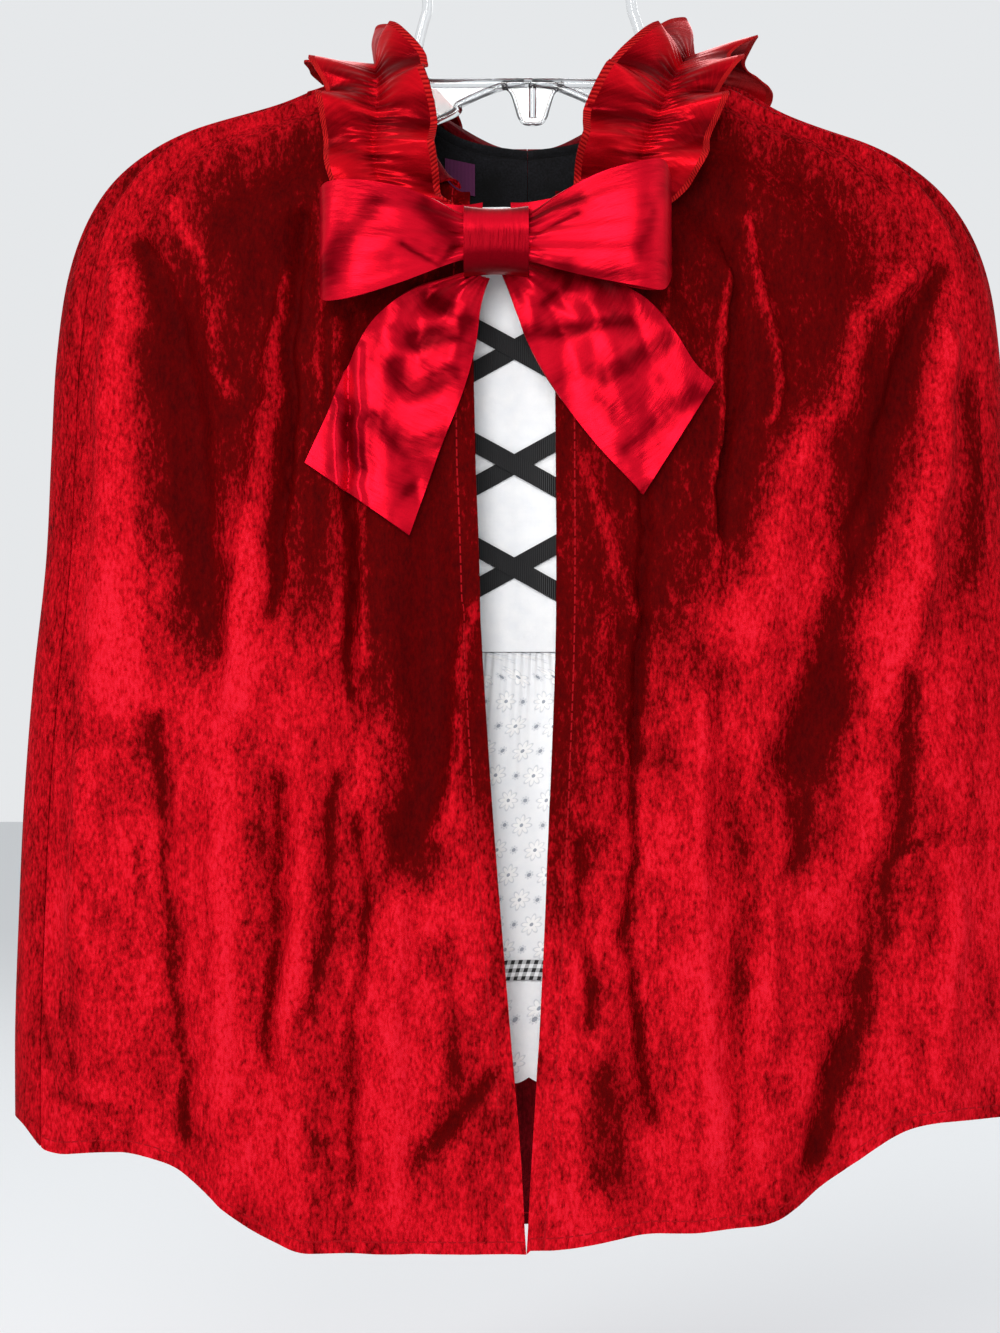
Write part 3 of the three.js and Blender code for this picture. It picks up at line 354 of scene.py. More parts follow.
def white_cotton(name, flowers):
    """Bleached plain-weave cotton, on the skirt with eyelet embroidery: daisies in satin stitch round a
    punched hole. The weave's threads are drawn 0.7 mm apart, twice their real pitch, so that they show.
    Each flower is its pitch across and down, its shift across and down, its reach and its hole's radius."""
    material, tree, shader = new_material(name)
    place = add(tree, "TexCoord")
    cloth_map = add(tree, "SeparateXYZ", {0: (place, "UV")})
    warp = add(tree, "Math", {0: (cloth_map, "X"), 1: 0.35}, operation="PINGPONG")
    weft = add(tree, "Math", {0: (cloth_map, "Y"), 1: 0.35}, operation="PINGPONG")
    weave = add(tree, "Math", {0: warp, 1: weft}, operation="ADD")
    slub = add(tree, "TexNoise", {"Vector": (place, "UV"), "Scale": 0.12, "Detail": 4.0})
    colour = add(tree, "Mix", {0: slub, 6: linear("#eceff4"), 7: linear("#ffffff")}, data_type="RGBA")
    relief = add(tree, "Math", {0: slub, 1: 2.0, 2: weave}, operation="MULTIPLY_ADD")
    for pitch_x, pitch_y, shift_x, shift_y, reach, hole in flowers:
        from_middle = []
        for axis, pitch, shift in (("X", pitch_x, shift_x), ("Y", pitch_y, shift_y)):
            moved = add(tree, "Math", {0: (cloth_map, axis), 1: shift}, operation="ADD")
            cell = add(tree, "Math", {0: moved, 1: pitch}, operation="FLOORED_MODULO")
            from_middle.append(add(tree, "Math", {0: cell, 1: -pitch / 2}, operation="ADD"))
        x, y = from_middle
        offset = add(tree, "CombineXYZ", {0: x, 1: y})
        radius = add(tree, "VectorMath", {0: offset}, operation="LENGTH")
        turn = add(tree, "Math", {0: y, 1: x}, operation="ARCTAN2")
        petal_turn = add(tree, "Math", {0: turn, 1: EYELET_PETALS / 2}, operation="MULTIPLY")
        wave = add(tree, "Math", {0: petal_turn}, operation="COSINE")
        lobes = add(tree, "Math", {0: wave}, operation="ABSOLUTE")
        petal_edge = add(tree, "Math", {0: lobes, 1: 0.55 * reach, 2: 0.45 * reach},
                         operation="MULTIPLY_ADD")
        inside = add(tree, "Math", {0: petal_edge, 1: (radius, "Value")}, operation="SUBTRACT")
        petal = add(tree, "MapRange", {"Value": inside, "From Min": 0.0, "From Max": 0.7})

        # A thin grey line of painted shade along the petals' outline.
        from_edge = add(tree, "Math", {0: inside}, operation="ABSOLUTE")
        painted_outline_shade = add(tree, "MapRange", {"Value": from_edge, "From Min": 0.1, "From Max": 0.9,
                                       "To Min": 0.6, "To Max": 0.0})
        outline_shaded = add(tree, "Mix", {0: painted_outline_shade, 6: (colour, 2), 7: linear("#c0c5ce")}, data_type="RGBA")
        # The hole is painted grey: painted shade where the cloth is punched through.
        shaded_hole = add(tree, "Math", {0: (radius, "Value"), 1: hole}, operation="LESS_THAN")
        stitched = add(tree, "Mix", {0: petal, 6: (outline_shaded, 2), 7: linear("#ffffff")}, data_type="RGBA")
        colour = add(tree, "Mix", {0: shaded_hole, 6: (stitched, 2), 7: linear("#a4aab4")}, data_type="RGBA")
        raised = add(tree, "Math", {0: petal, 1: 1.6, 2: relief}, operation="MULTIPLY_ADD")
        relief = add(tree, "Math", {0: shaded_hole, 1: -2.2, 2: raised}, operation="MULTIPLY_ADD")
    bump = add(tree, "Bump", {"Strength": 0.5, "Distance": 0.0005, "Height": relief})
    connect(tree, shader, {"Base Color": (colour, 2), "Normal": bump, "Roughness": 0.85,
                           "Specular IOR Level": 0.25, "Sheen Weight": 0.1})
    return material


def gingham(name, check):
    """Woven check ribbon: black and white warp and weft, grey where they cross."""
    material, tree, shader = new_material(name)
    place = add(tree, "TexCoord")
    cloth_map = add(tree, "SeparateXYZ", {0: (place, "UV")})
    dark = 0.0
    for axis in ("X", "Y"):
        cell = add(tree, "Math", {0: (cloth_map, axis), 1: check * 2}, operation="FLOORED_MODULO")
        stripe = add(tree, "Math", {0: cell, 1: check}, operation="LESS_THAN")
        dark = add(tree, "Math", {0: stripe, 1: 0.5, 2: dark}, operation="MULTIPLY_ADD")
    colour = add(tree, "Mix", {0: dark, 6: linear("#eef0f2"), 7: linear("#0c0c0e")}, data_type="RGBA")
    rib = add(tree, "Math", {0: (cloth_map, "X"), 1: 0.3}, operation="PINGPONG")
    bump = add(tree, "Bump", {"Strength": 0.4, "Distance": 0.0003, "Height": rib})
    connect(tree, shader, {"Base Color": (colour, 2), "Normal": bump, "Roughness": 0.7})
    return material


def ribbed_ribbon(name, low, high, pitch, roughness):
    """Grosgrain: ribs across the ribbon, drawn wide enough to show, with painted shade in the grooves
    between them and lighter tops.
    """
    material, tree, shader = new_material(name)
    place = add(tree, "TexCoord")
    cloth_map = add(tree, "SeparateXYZ", {0: (place, "UV")})
    rib = add(tree, "Math", {0: (cloth_map, "X"), 1: pitch / 2}, operation="PINGPONG")
    share = add(tree, "Math", {0: rib, 1: 2 / pitch}, operation="MULTIPLY")
    # The colour follows the rib's height: painted shade in the grooves, painted highlight on the tops.
    colour = add(tree, "Mix", {0: share, 6: linear(low), 7: linear(high)}, data_type="RGBA")
    bump = add(tree, "Bump", {"Strength": 0.6, "Distance": 0.0004, "Height": share})
    connect(tree, shader, {"Base Color": (colour, 2), "Normal": bump, "Roughness": roughness,
                           "Specular IOR Level": 0.35})
    return material


def clear_styrene(name):
    """Moulded clear polystyrene: smooth and glossy, with faint flow waves."""
    material, tree, shader = new_material(name)
    place = add(tree, "TexCoord")
    flow = add(tree, "TexNoise", {"Vector": (place, "Object"), "Scale": 45.0, "Detail": 2.0})
    rough = add(tree, "Math", {0: flow, 1: 0.08, 2: 0.02}, operation="MULTIPLY_ADD")
    bump = add(tree, "Bump", {"Strength": 0.15, "Distance": 0.001, "Height": flow})
    connect(tree, shader, {"Base Color": linear("#fafbfc"), "Normal": bump, "Roughness": rough,
                           "IOR": 1.59, "Specular IOR Level": 0.3, "Transmission Weight": 1})
    return material


# Velvets: name, painted-shade colour, painted-sheen colour, painted-highlight colour and sheen weight.
# Satins: name, painted-shade colour, painted-highlight colour, roughness and whether it is the ruffle.
velvet = red_velvet("panne_velvet_red", "#500001", "#b80a18", "#d01c30", 0.02)
velvet_back = red_velvet("panne_velvet_red_wrong_side", "#50030a", "#800c16", "#800c16", 0.04)
ruffle_satin = red_satin("ruffle_satin_red", "#560005", "#c20a18", 0.3, True)
bow_satin = red_satin("bow_satin_red", "#5c0008", "#bc0a20", 0.34, False)
black_velvet = black_pile("stretch_velvet_black")
plain_cotton = white_cotton("cotton_white", [])
eyelet_cotton = white_cotton("cotton_white_eyelet", [
    (22, 27, 0, 0, 5.5, 1), (22, 27, 11, 13.5, 5.5, 1),
    (22, 27, 10, 0, 1.9, 1.1), (22, 27, 1, 13.5, 1.9, 1.1)])
hem_cotton = white_cotton("cotton_white_eyelet_hem", [(22, 30, 0, 0, 6, 1.2), (11, 60, 5, 9, 2.4, 1.5)])
check_ribbon = gingham("gingham_ribbon_black_white", 2.2)
black_ribbon = ribbed_ribbon("grosgrain_ribbon_black", "#060607", "#1a1a1d", 1.3, 0.55)
label_cloth = ribbed_ribbon("woven_label_purple", "#4c1240", "#6a2a58", 0.8, 0.6)
clear_plastic = clear_styrene("clear_polystyrene")

# Cape

cape_sections = table("side_z half_width front_z front_y back_z back_y left_edge right_edge", [
    (-130, 84, -199, 46, -172, 40, -32, 14.4),
    (-136, 112, -212, 52.4, -180, 46, -31.8, 14.4),
    (-147, 140, -228, 56.4, -192, 50, -31.5, 14.4),
    (-162, 190, -252, 60.2, -214, 54, -31, 14.4),
    (-180, 221, -280, 63, -242, 56, -30.3, 14.4),
    (-205, 242, -312, 65, -276, 57, -29.6, 14.4),
    (-240, 256, -350, 67, -318, 58, -28.8, 14.4),
    (-285, 263, -394, 68, -366, 58, -27, 14.4),
    (-340, 266, -442, 69, -420, 58, -25.5, 14),
    (-400, 269, -495, 70, -478, 58, -22.3, 12.3),
    (-465, 276, -548, 71, -536, 58, -18.6, 10),
    (-530, 281, -604, 72, -594, 58, -14.2, 7.8),
    (-595, 284, -660, 72, -655, 58, -9.5, 5),
    (-655, 286, -715, 73, -718, 58, -4.8, 1.6),
    (-706, 286, -770, 74, -780, 58, -1.9, -1.6),
])
CAPE_ROUNDNESS = 2.6
SHOULDER_SEAM_ANGLE = 62
SEAM_GAP = 0.3
VELVET, SATIN, COTTON, RIBBON = 1.6, 1.2, 1.2, 1.0
FOLD_RELIEF = 0.45
STREAK_RELIEF = 0.75
OPENING_X = -8
GATHER_DEPTH = 3
FRONT_GATHER_PITCH, BACK_GATHER_PITCH = 10, 20

# Each large fold of the front, as the CAD model has them: its place across at the top and at the hem, its
# half width there, its depth, and the levels where it starts and ends.
front_folds = [
    (-0.89, -0.76, 0.06, 7, 0.3, 1.1), (-0.75, -0.62, 0.06, -6, 0.28, 1.1),
    (-0.51, -0.54, 0.045, 9, 0.3, 0.85), (-0.52, -0.47, 0.03, -7, 0.3, 1.1),
    (-0.43, -0.4, 0.03, 6, 0.3, 1.1), (-0.37, -0.34, 0.03, -6, 0.3, 1.1),
    (-0.31, -0.27, 0.04, 6, 0.35, 1.1), (-0.17, -0.22, 0.06, -5, 0.4, 0.9),
    (-0.12, -0.13, 0.05, 6, 0.55, 1.1), (-0.9, -0.68, 0.035, -6, 0.65, 1.2),
    (-0.85, -0.86, 0.06, 8, 0.6, 1.2), (-0.6, -0.57, 0.05, 7, 0.6, 1.2),
    (0.09, 0.15, 0.05, 6, 0.4, 1.1), (0.25, 0.21, 0.035, -6, 0.35, 1.1),
    (0.32, 0.29, 0.045, 6, 0.35, 1.1), (0.44, 0.36, 0.03, -7, 0.3, 0.85),
    (0.5, 0.43, 0.04, 7, 0.3, 1.1), (0.83, 0.4, 0.07, 9, 0.3, 0.8),
    (0.9, 0.5, 0.06, -6, 0.3, 0.85), (0.92, 0.62, 0.05, 8, 0.35, 0.85),
    (0.87, 0.55, 0.045, -7, 0.6, 1.2), (0.8, 0.78, 0.07, 8, 0.6, 1.2),
    (0.6, 0.47, 0.05, 6, 0.65, 1.2),
]

# Each fold of the back: its middle and half width in degrees from the centre back, and its depth.
back_folds = [(-88, 7, 6), (-66, 8, -6), (-47, 8, 9), (-29, 7, -6), (-13, 7, 7), (4, 6, -6), (19, 7, 8),
              (36, 7, -6), (54, 8, 9), (73, 8, -6), (92, 7, 6)]

# Folds and streaks in the pile of the fronts, each with its height, its half width at both ends, its
# painted light (painted highlight on the ridges, painted shade in the valleys), and its line down the cloth
# in x and z.
streaks = [
    (3, 4.3, 5.4, 0.8, [(-192, -205), (-184, -224), (-175, -260), (-170, -298), (-164, -310)]),
    (7, 7.6, 22.7, 0.85, [(-222, -247), (-223, -277), (-224, -314), (-222, -368), (-221, -464)]),
    (-7, 5.4, 15.1, -1, [(-209, -228), (-196, -277), (-185, -330), (-178, -389), (-175, -448)]),
    (8, 3.8, 10.8, 0.9, [(-131, -244), (-136, -288), (-142, -325), (-147, -381), (-155, -416),
                         (-157, -475)]),
    (-8, 3.8, 4.3, -1.2, [(-125, -214), (-128, -233), (-129, -270), (-132, -353), (-136, -427)]),
    (3, 1.6, 2.2, 0.7, [(-113, -196), (-114, -239), (-114, -314)]),
    (-4, 1.6, 1.9, -1, [(-98, -266), (-98, -368), (-98, -475)]),
    (4, 2.7, 3.2, 0.7, [(-106, -271), (-104, -372), (-103, -443)]),
    (4, 2.7, 3.8, 0.7, [(-93, -287), (-92, -381), (-90, -454)]),
    (-5, 9.7, 15.1, -0.9, [(-56, -357), (-54, -422), (-56, -486), (-67, -563)]),
    (5, 4.3, 5.4, 0.9, [(-32, -427), (-40, -504), (-48, -545)]),
    (-7, 4.3, 4.3, -1.1, [(-202, -485), (-196, -536), (-194, -629), (-187, -670), (-183, -711)]),
    (-5, 3.2, 3.2, -0.8, [(-133, -516), (-134, -567), (-139, -670)]),
    (-5, 3.2, 3.2, -0.8, [(-103, -516), (-110, -608), (-120, -649)]),
    (-5, 2.7, 3.2, -0.8, [(-91, -536), (-90, -588), (-94, -639), (-92, -731)]),
    (5, 6.5, 8.6, 0.5, [(-165, -518), (-166, -583), (-163, -668), (-158, -738)]),
    (5, 5.4, 6.5, 0.5, [(-118, -529), (-123, -583), (-128, -642), (-126, -744)]),
    (5, 4.9, 7.6, 0.5, [(-69, -583), (-70, -642), (-68, -695), (-69, -754)]),
    (-4, 2.7, 3.2, -0.9, [(-275, -582), (-270, -626), (-264, -670)]),
    (-3, 2.7, 2.7, -0.7, [(-259, -690), (-241, -694), (-222, -696)]),
    (-4, 7.6, 6.5, -0.7, [(-48, -609), (-36, -649), (-41, -706)]),
    (-4, 4.3, 4.3, -0.8, [(-19, -676), (-37, -698), (-58, -721)]),
    (6, 6.5, 10.8, 0.4, [(-236, -507), (-238, -572), (-233, -636), (-228, -695)]),
    (9, 6.5, 17.3, 0.95, [(202, -247), (178, -270), (169, -307), (142, -353), (132, -400), (114, -432)]),
    (-9, 5.4, 15.1, -1.1, [(223, -242), (212, -270), (188, -344), (175, -400), (160, -455), (145, -507)]),
    (8, 7.6, 10.8, 0.8, [(226, -279), (221, -325), (212, -381), (202, -427), (192, -475)]),
    (-4, 6.5, 10.8, -0.7, [(241, -303), (245, -346), (239, -400)]),
    (-8, 3.2, 3.8, -1.2, [(106, -228), (110, -251), (112, -288), (107, -336), (102, -384)]),
    (4, 2.2, 2.7, 0.8, [(107, -242), (102, -298), (100, -362), (99, -400)]),
    (4, 3.2, 3.2, 0.8, [(117, -214), (123, -251), (132, -288), (130, -325)]),
    (3, 2.2, 2.2, 0.6, [(75, -233), (74, -252), (73, -270)]),
    (-6, 2.7, 3.2, -1, [(65, -362), (64, -381), (61, -418), (60, -474), (56, -557), (53, -598),
                        (60, -659), (66, -701)]),
    (4, 3.8, 4.9, 0.7, [(30, -347), (46, -390), (55, -427)]),
    (-8, 7.6, 7.6, -1.1, [(206, -464), (202, -536), (194, -567), (186, -608), (179, -639),
                          (165, -680), (153, -721)]),
    (-6, 19.4, 5.4, -0.9, [(165, -470), (152, -518), (141, -567)]),
    (-4, 2.2, 2.2, -0.7, [(200, -555), (226, -548), (253, -549)]),
    (-5, 2.7, 3.8, -0.8, [(25, -551), (29, -599), (34, -649)]),
    (-5, 11.9, 13, -0.8, [(38, -679), (43, -706), (44, -730)]),
    (6, 6.5, 8.6, 0.6, [(92, -475), (91, -556), (94, -636), (100, -717)]),
    (6, 5.4, 7.6, 0.5, [(127, -583), (124, -636), (120, -717)]),
    (6, 6.5, 9.7, 0.5, [(229, -583), (223, -636), (215, -695)]),
    (-5, 4.3, 5.4, -0.6, [(113, -507), (114, -583), (112, -658), (116, -722)]),
    (5, 5.4, 7.6, 0.5, [(38, -432), (37, -507), (36, -540)]),
]


def along_line(x, z, line):
    """Distance from a line of points, and the share of its length at the nearest place."""
    steps = [math.dist(a, b) for a, b in zip(line, line[1:])]
    nearest = np.full(np.shape(x), 1e9)
    share = np.zeros(np.shape(x))
    done = 0
    for (x0, z0), (x1, z1), step in zip(line, line[1:], steps):
        run_x, run_z = (x1 - x0) / step, (z1 - z0) / step
        place = np.clip((x - x0) * run_x + (z - z0) * run_z, 0, step)
        distance = np.hypot(x - x0 - place * run_x, z - z0 - place * run_z)
        closer = distance < nearest
        nearest = np.where(closer, distance, nearest)
        share = np.where(closer, (done + place) / sum(steps), share)
        done += step
    return nearest, share


def streak_values(x, z):
    """How far the streaks lift the front, and the painted highlight and painted shade they lay on its pile.
    They wander a little.
    """
    height = np.zeros(np.shape(x))
    painted_shine = np.zeros(np.shape(x))
    x = x + 3 * speckle(z / 24, x / 45, 7) + 1.2 * speckle(z / 8, x / 15, 8)
    for lift, start_width, end_width, painted_light, line in streaks:
        distance, share = along_line(x, z, line)
        width = mix(start_width, end_width, share)
        height += STREAK_RELIEF * lift * bell(distance, width)
        painted_shine += painted_light * bell(distance, width * 0.95)
    return height, painted_shine


def section_reach(sine, cosine):
    power = np.abs(sine) ** CAPE_ROUNDNESS + np.abs(cosine) ** CAPE_ROUNDNESS
    return power ** (-1 / CAPE_ROUNDNESS)


def cape_base(degrees, level):
    """The cape's section without folds: the angle's sine and cosine, the place across from -1 to 1, whether
    it is the front, and x, y and z. Its rim falls from the centre's height to the side's, the hem dips
    twice at the left and rises and falls at the right, and the right shoulder lies lower."""
    section = between(cape_sections, level)
    angle = np.radians(degrees)
    sine, cosine = np.sin(angle), np.cos(angle)
    ratio = section_reach(sine, cosine)
    reach = ratio * np.abs(sine)
    is_front = cosine > 0
    is_right = sine > 0
    centre_z = np.where(is_front, section["front_z"], section["back_z"])
    depth = np.where(is_front, section["front_y"], section["back_y"])
    fall_start = np.where(is_front, mix(0.42, 0.41, level), 0.1)
    fall_end = np.where(is_front, mix(1, 0.77, level), 1)
    fall = smooth_step(fall_start, fall_end, reach)
    dip = 12 * bell(reach - 0.76, 0.17) + 10 * bell(reach - 0.92, 0.09)
    rise = 2 + 9 * smooth_step(0.03, 0.25, reach) + 4 * smooth_step(0.3, 0.45, reach)
    rise = rise - 11 * smooth_step(0.48, 0.75, reach)
    uneven_hem = np.where(is_right, rise, -dip) * level ** 4 * (1 - smooth_step(0.92, 1, reach))
    low_shoulder = 7 * smooth_step(0.08, 0.2, level) * (1 - smooth_step(0.3, 0.5, level))
    z = mix(centre_z, section["side_z"], fall) + np.where(is_front, uneven_hem, 0)
    z = z - np.where(is_right, low_shoulder, 0) * smooth_step(0.6, 1, reach)
    place = ratio * sine
    return sine, cosine, place, is_front, section["half_width"] * place, -depth * ratio * cosine, z


def cape_point(degrees, level):
    degrees, level = np.broadcast_arrays(np.asarray(degrees, float), np.asarray(level, float))
    sine, cosine, place, is_front, x, y, z = cape_base(degrees, level)
    gather = smooth_step(0, 0.1, level) * (1 - smooth_step(0.2, 0.5, level))
    pitch = np.where(is_front, FRONT_GATHER_PITCH, BACK_GATHER_PITCH)
    fold = GATHER_DEPTH * gather * np.cos(degrees / pitch * 2 * np.pi)
    side_fade = 1 - smooth_step(0.86, 0.93, np.abs(place))
    front = np.zeros_like(fold)
    for top, hem, width, depth, start, end in front_folds:
        life = smooth_step(start, start + 0.25, level) * (1 - smooth_step(end - 0.2, end, level))
        front += FOLD_RELIEF * depth * life * bell(place - mix(top, hem, (level - 0.3) / 0.7), width)
    from_back = np.where(degrees > 0, degrees - 180, degrees + 180)
    back = np.zeros_like(fold)
    for middle, width, depth in back_folds:
        back += depth * smooth_step(0.5, 0.95, level) * bell(from_back - middle, width)
    back += 1.5 * smooth_step(0.1, 0.6, level) * speckle(from_back / 5, level * 3, 11)
    front = side_fade * (front + streak_values(x, z)[0])
    crumple = 0.9 * speckle(x / 26 + 40, z / 60, 1) + 0.45 * speckle(x / 10, z / 22, 2)
    crumple = (crumple + 0.16 * speckle(x / 4.2, z / 6.5, 3)) * smooth_step(0.02, 0.2, level)
    behind_fade = smooth_step(0, 0.2, -cosine)
    fold += np.where(is_front, front, back * behind_fade)
    fold += crumple * np.where(is_front, side_fade, behind_fade)
    fold -= 0.7 * bell((np.abs(degrees) - SHOULDER_SEAM_ANGLE) * 3, 1) * smooth_step(0, 0.05, level)
    return stack(x + fold * sine, y - fold * cosine, z)


def back_degrees(share):
    """The angle at a share of the way round the back, from one shoulder seam to the other."""
    return SHOULDER_SEAM_ANGLE + share * 2 * (180 - SHOULDER_SEAM_ANGLE)


def angle_of_reach(share):
    forward = (1 - np.abs(share) ** CAPE_ROUNDNESS) ** (1 / CAPE_ROUNDNESS)
    return np.degrees(np.arctan2(share, forward))


def cape_front(side, edge):
    def surface(u, v):
        section = between(cape_sections, v)
        edge_angle = angle_of_reach(section[edge] / section["half_width"])
        return cape_point(mix(edge_angle, side * SHOULDER_SEAM_ANGLE, u), v)
    return surface


def cape_back(u, v):
    return cape_point(back_degrees(u), v)


def front_painted_sheen(u, v, points):
    """The painted sheen of the front: painted shade above, painted sheen below and painted shade further
    down at the opening, lighter towards the shoulder seams above, with the streaks' painted light and random
    clouds.
    """
    x, z = points[..., 0], points[..., 2]
    painted_shine = streak_values(x, z)[1]
    near_opening = bell(x - OPENING_X, 85)
    start = -310 - 200 * near_opening + 25 * speckle(x / 30, 0 * x, 20)
    lower = smooth_step(start, start - 150, z)
    cloudy = 0.13 * speckle(x / 18, z / 42, 21) + 0.09 * speckle(x / 6, z / 14, 22)
    upper = 0.1 + 0.42 * smooth_step(0.6, 0.9, u)
    return np.clip(mix(upper, 0.64, lower) + 0.45 * painted_shine + mix(0.7, 1.5, lower) * cloudy, 0, 1)


# Painted sheen of the back: painted highlight on the folds that stand out and painted shade in their
# hollows, lighter towards the hem, with random clouds.
def back_painted_sheen(u, v, points):
    x, y, z = np.moveaxis(points, -1, 0)
    sine, cosine, _, _, plain_x, plain_y, _ = cape_base(back_degrees(u), v)
    fold = (x - plain_x) * sine - (y - plain_y) * cosine
    cloudy = 0.12 * speckle(x / 20, z / 60, 23) + 0.08 * speckle(x / 6, z / 14, 24)
    return np.clip(0.42 + 0.05 * fold + 0.12 * v + cloudy, 0, 1)


cape_cloth = {"thickness": VELVET, "materials": [velvet, velvet_back], "slot": "red_velvet", "held": "hung",
              "rests_on": ["dress_back_left", "dress_back_right"]}
NO_TOPSTITCHING = 100
cloth("cape_front_left_velvet", cape_front(-1, "left_edge"), 150, 210, facing=1, cut=(0.31, 0.68, 0.156),
      painted_light_share=front_painted_sheen, **cape_cloth)
cloth("cape_front_right_velvet", cape_front(1, "right_edge"), 150, 210, facing=-1, cut=(0.31, 0.68, 0.16),
      painted_light_share=front_painted_sheen, **cape_cloth)
cloth("cape_back_velvet", cape_back, 220, 150, facing=-1, cut=(0.75, 0.69, 0.42), painted_light_share=back_painted_sheen,
      uv_start=NO_TOPSTITCHING, **cape_cloth)


def cape_front_at(x, z):
    """The cape's front at x and z, found by halving the range of levels that holds it."""
    low = np.zeros_like(x)
    high = np.ones_like(x)

    def degrees_at(level):
        reach = np.minimum(0.999, np.abs(x) / between(cape_sections, level)["half_width"])
        return angle_of_reach(np.sign(x) * reach)

    for _ in range(18):
        middle = (low + high) / 2
        *_, middle_z = cape_base(degrees_at(middle), middle)
        low = np.where(middle_z > z, middle, low)
        high = np.where(middle_z > z, high, middle)
    return cape_point(degrees_at(low), low)


BEHIND_FRONT = 12


def rest_on_front(points, lift, mask=True):
    """Moves cloth that lies on the cape's front forward until it stands clear of it."""
    below = cape_front_at(points[..., 0], points[..., 2])
    is_over = (np.abs(below[..., 2] - points[..., 2]) < 1) & (points[..., 1] < BEHIND_FRONT) & mask
    clear = np.minimum(points[..., 1], below[..., 1] - lift)
    points[..., 1] = np.where(is_over, clear, points[..., 1])
    return points


# Ruffle: satin strips gathered along their middle. Each row is a point of the gathered line, and the
# direction and width of the inner and the outer half of the strip there.

RUFFLE_END = 13 / 14
RUFFLE_WIDTH_SHARE = 0.94
RUFFLE_WAVES = 8
WAVE_HEIGHT = 6.5
OUTER_PHASE = 0.35

ruffle_columns = "x y z in_x in_y in_z in_width out_x out_y out_z out_width"
ruffle_left = table(ruffle_columns, [
    (-64, -64, -212, 0.9, 0.05, 0.1, 26, -0.9, 0, -0.3, 24),
    (-80, -63, -197, 0.97, 0, -0.2, 36, -0.9, 0, -0.3, 26),
    (-84, -61, -178, 0.97, -0.15, -0.1, 38, -0.95, 0, 0, 28),
    (-82, -58, -160, 0.97, -0.2, -0.05, 35, -0.95, -0.1, 0.1, 32),
    (-82, -49, -145, 0.8, -0.45, 0.2, 36, -0.93, 0, 0.1, 32),
    (-83, -35, -131, 0.6, -0.6, 0.4, 34, -0.93, 0.05, 0.12, 32),
    (-84, -14, -123, 0.35, -0.6, 0.62, 27, -0.95, 0, 0, 32),
    (-85, 8, -121, 0.3, 0.3, 0.7, 24, -0.93, 0.1, -0.2, 36),
    (-86, 32, -129, 0.7, 0.2, 0.45, 32, -0.9, 0.3, -0.15, 40),
    (-77, 56, -150, 0.65, 0.25, 0.5, 44, -0.8, 0.4, -0.4, 46),
    (-60, 76, -174, 0.5, 0.35, 0.45, 42, -0.65, 0.5, -0.55, 45),
    (-41, 89, -194, 0.2, 0.5, 0.65, 40, -0.4, 0.5, -0.75, 44),
    (-20, 97, -209, 0.1, 0.45, 0.8, 38, -0.2, 0.35, -0.9, 42),
    (0, 99, -215, 0, 0.4, 0.85, 38, 0, 0.3, -0.95, 42),
    (20, 97, -209, -0.1, 0.45, 0.8, 38, 0.2, 0.35, -0.9, 42),
])
ruffle_right = table(ruffle_columns, [
    (42, -64, -210, -0.9, 0.05, 0.1, 24, 0.9, 0, -0.3, 24),
    (57, -63, -195, -0.97, 0.05, -0.1, 36, 0.95, 0, -0.1, 32),
    (61, -62, -178, -0.98, -0.15, 0.05, 38, 0.97, 0, 0.05, 38),
    (69, -59, -160, -0.97, -0.2, 0.15, 42, 0.95, 0.05, 0.1, 36),
    (74, -51, -147, -0.9, -0.3, 0.3, 40, 0.9, 0.15, 0.15, 34),
    (80, -38, -133, -0.7, -0.5, 0.4, 36, 0.9, 0.2, 0.2, 34),
    (86, -16, -121, -0.55, -0.5, 0.55, 28, 0.92, 0.05, 0.25, 34),
    (92, 6, -115, -0.45, 0.25, 0.7, 22, 0.8, 0.2, 0.05, 36),
    (99, 28, -122, -0.55, 0.3, 0.6, 26, 0.9, 0.1, -0.4, 38),
    (88, 54, -141, -0.45, 0.35, 0.7, 42, 0.85, 0.25, -0.45, 48),
    (66, 76, -168, -0.3, 0.5, 0.75, 40, 0.65, 0.5, -0.6, 46),
    (43, 89, -192, -0.2, 0.55, 0.75, 38, 0.4, 0.5, -0.75, 44),
    (20, 97, -209, -0.1, 0.45, 0.8, 38, 0.2, 0.35, -0.9, 42),
    (0, 99, -215, 0, 0.4, 0.85, 38, 0, 0.3, -0.95, 42),
    (-20, 97, -209, 0.1, 0.45, 0.8, 38, -0.2, 0.35, -0.9, 42),
])


def ruffle_row(rows, along):
    """A row of the strip, which ends at the centre back, one row before its table does."""
    return between(rows, along * RUFFLE_END)


def gather_line(rows, along):
    row = ruffle_row(rows, along)
    return stack(row["x"], row["y"], row["z"])


def ruffle_facing(rows, side, along):
    row = ruffle_row(rows, along)
    tangent = unit(gather_line(rows, along + 0.01) - gather_line(rows, np.maximum(0, along - 0.01)))
    return unit(np.cross(unit(stack(row["in_x"], row["in_y"], row["in_z"])), tangent) * -side)


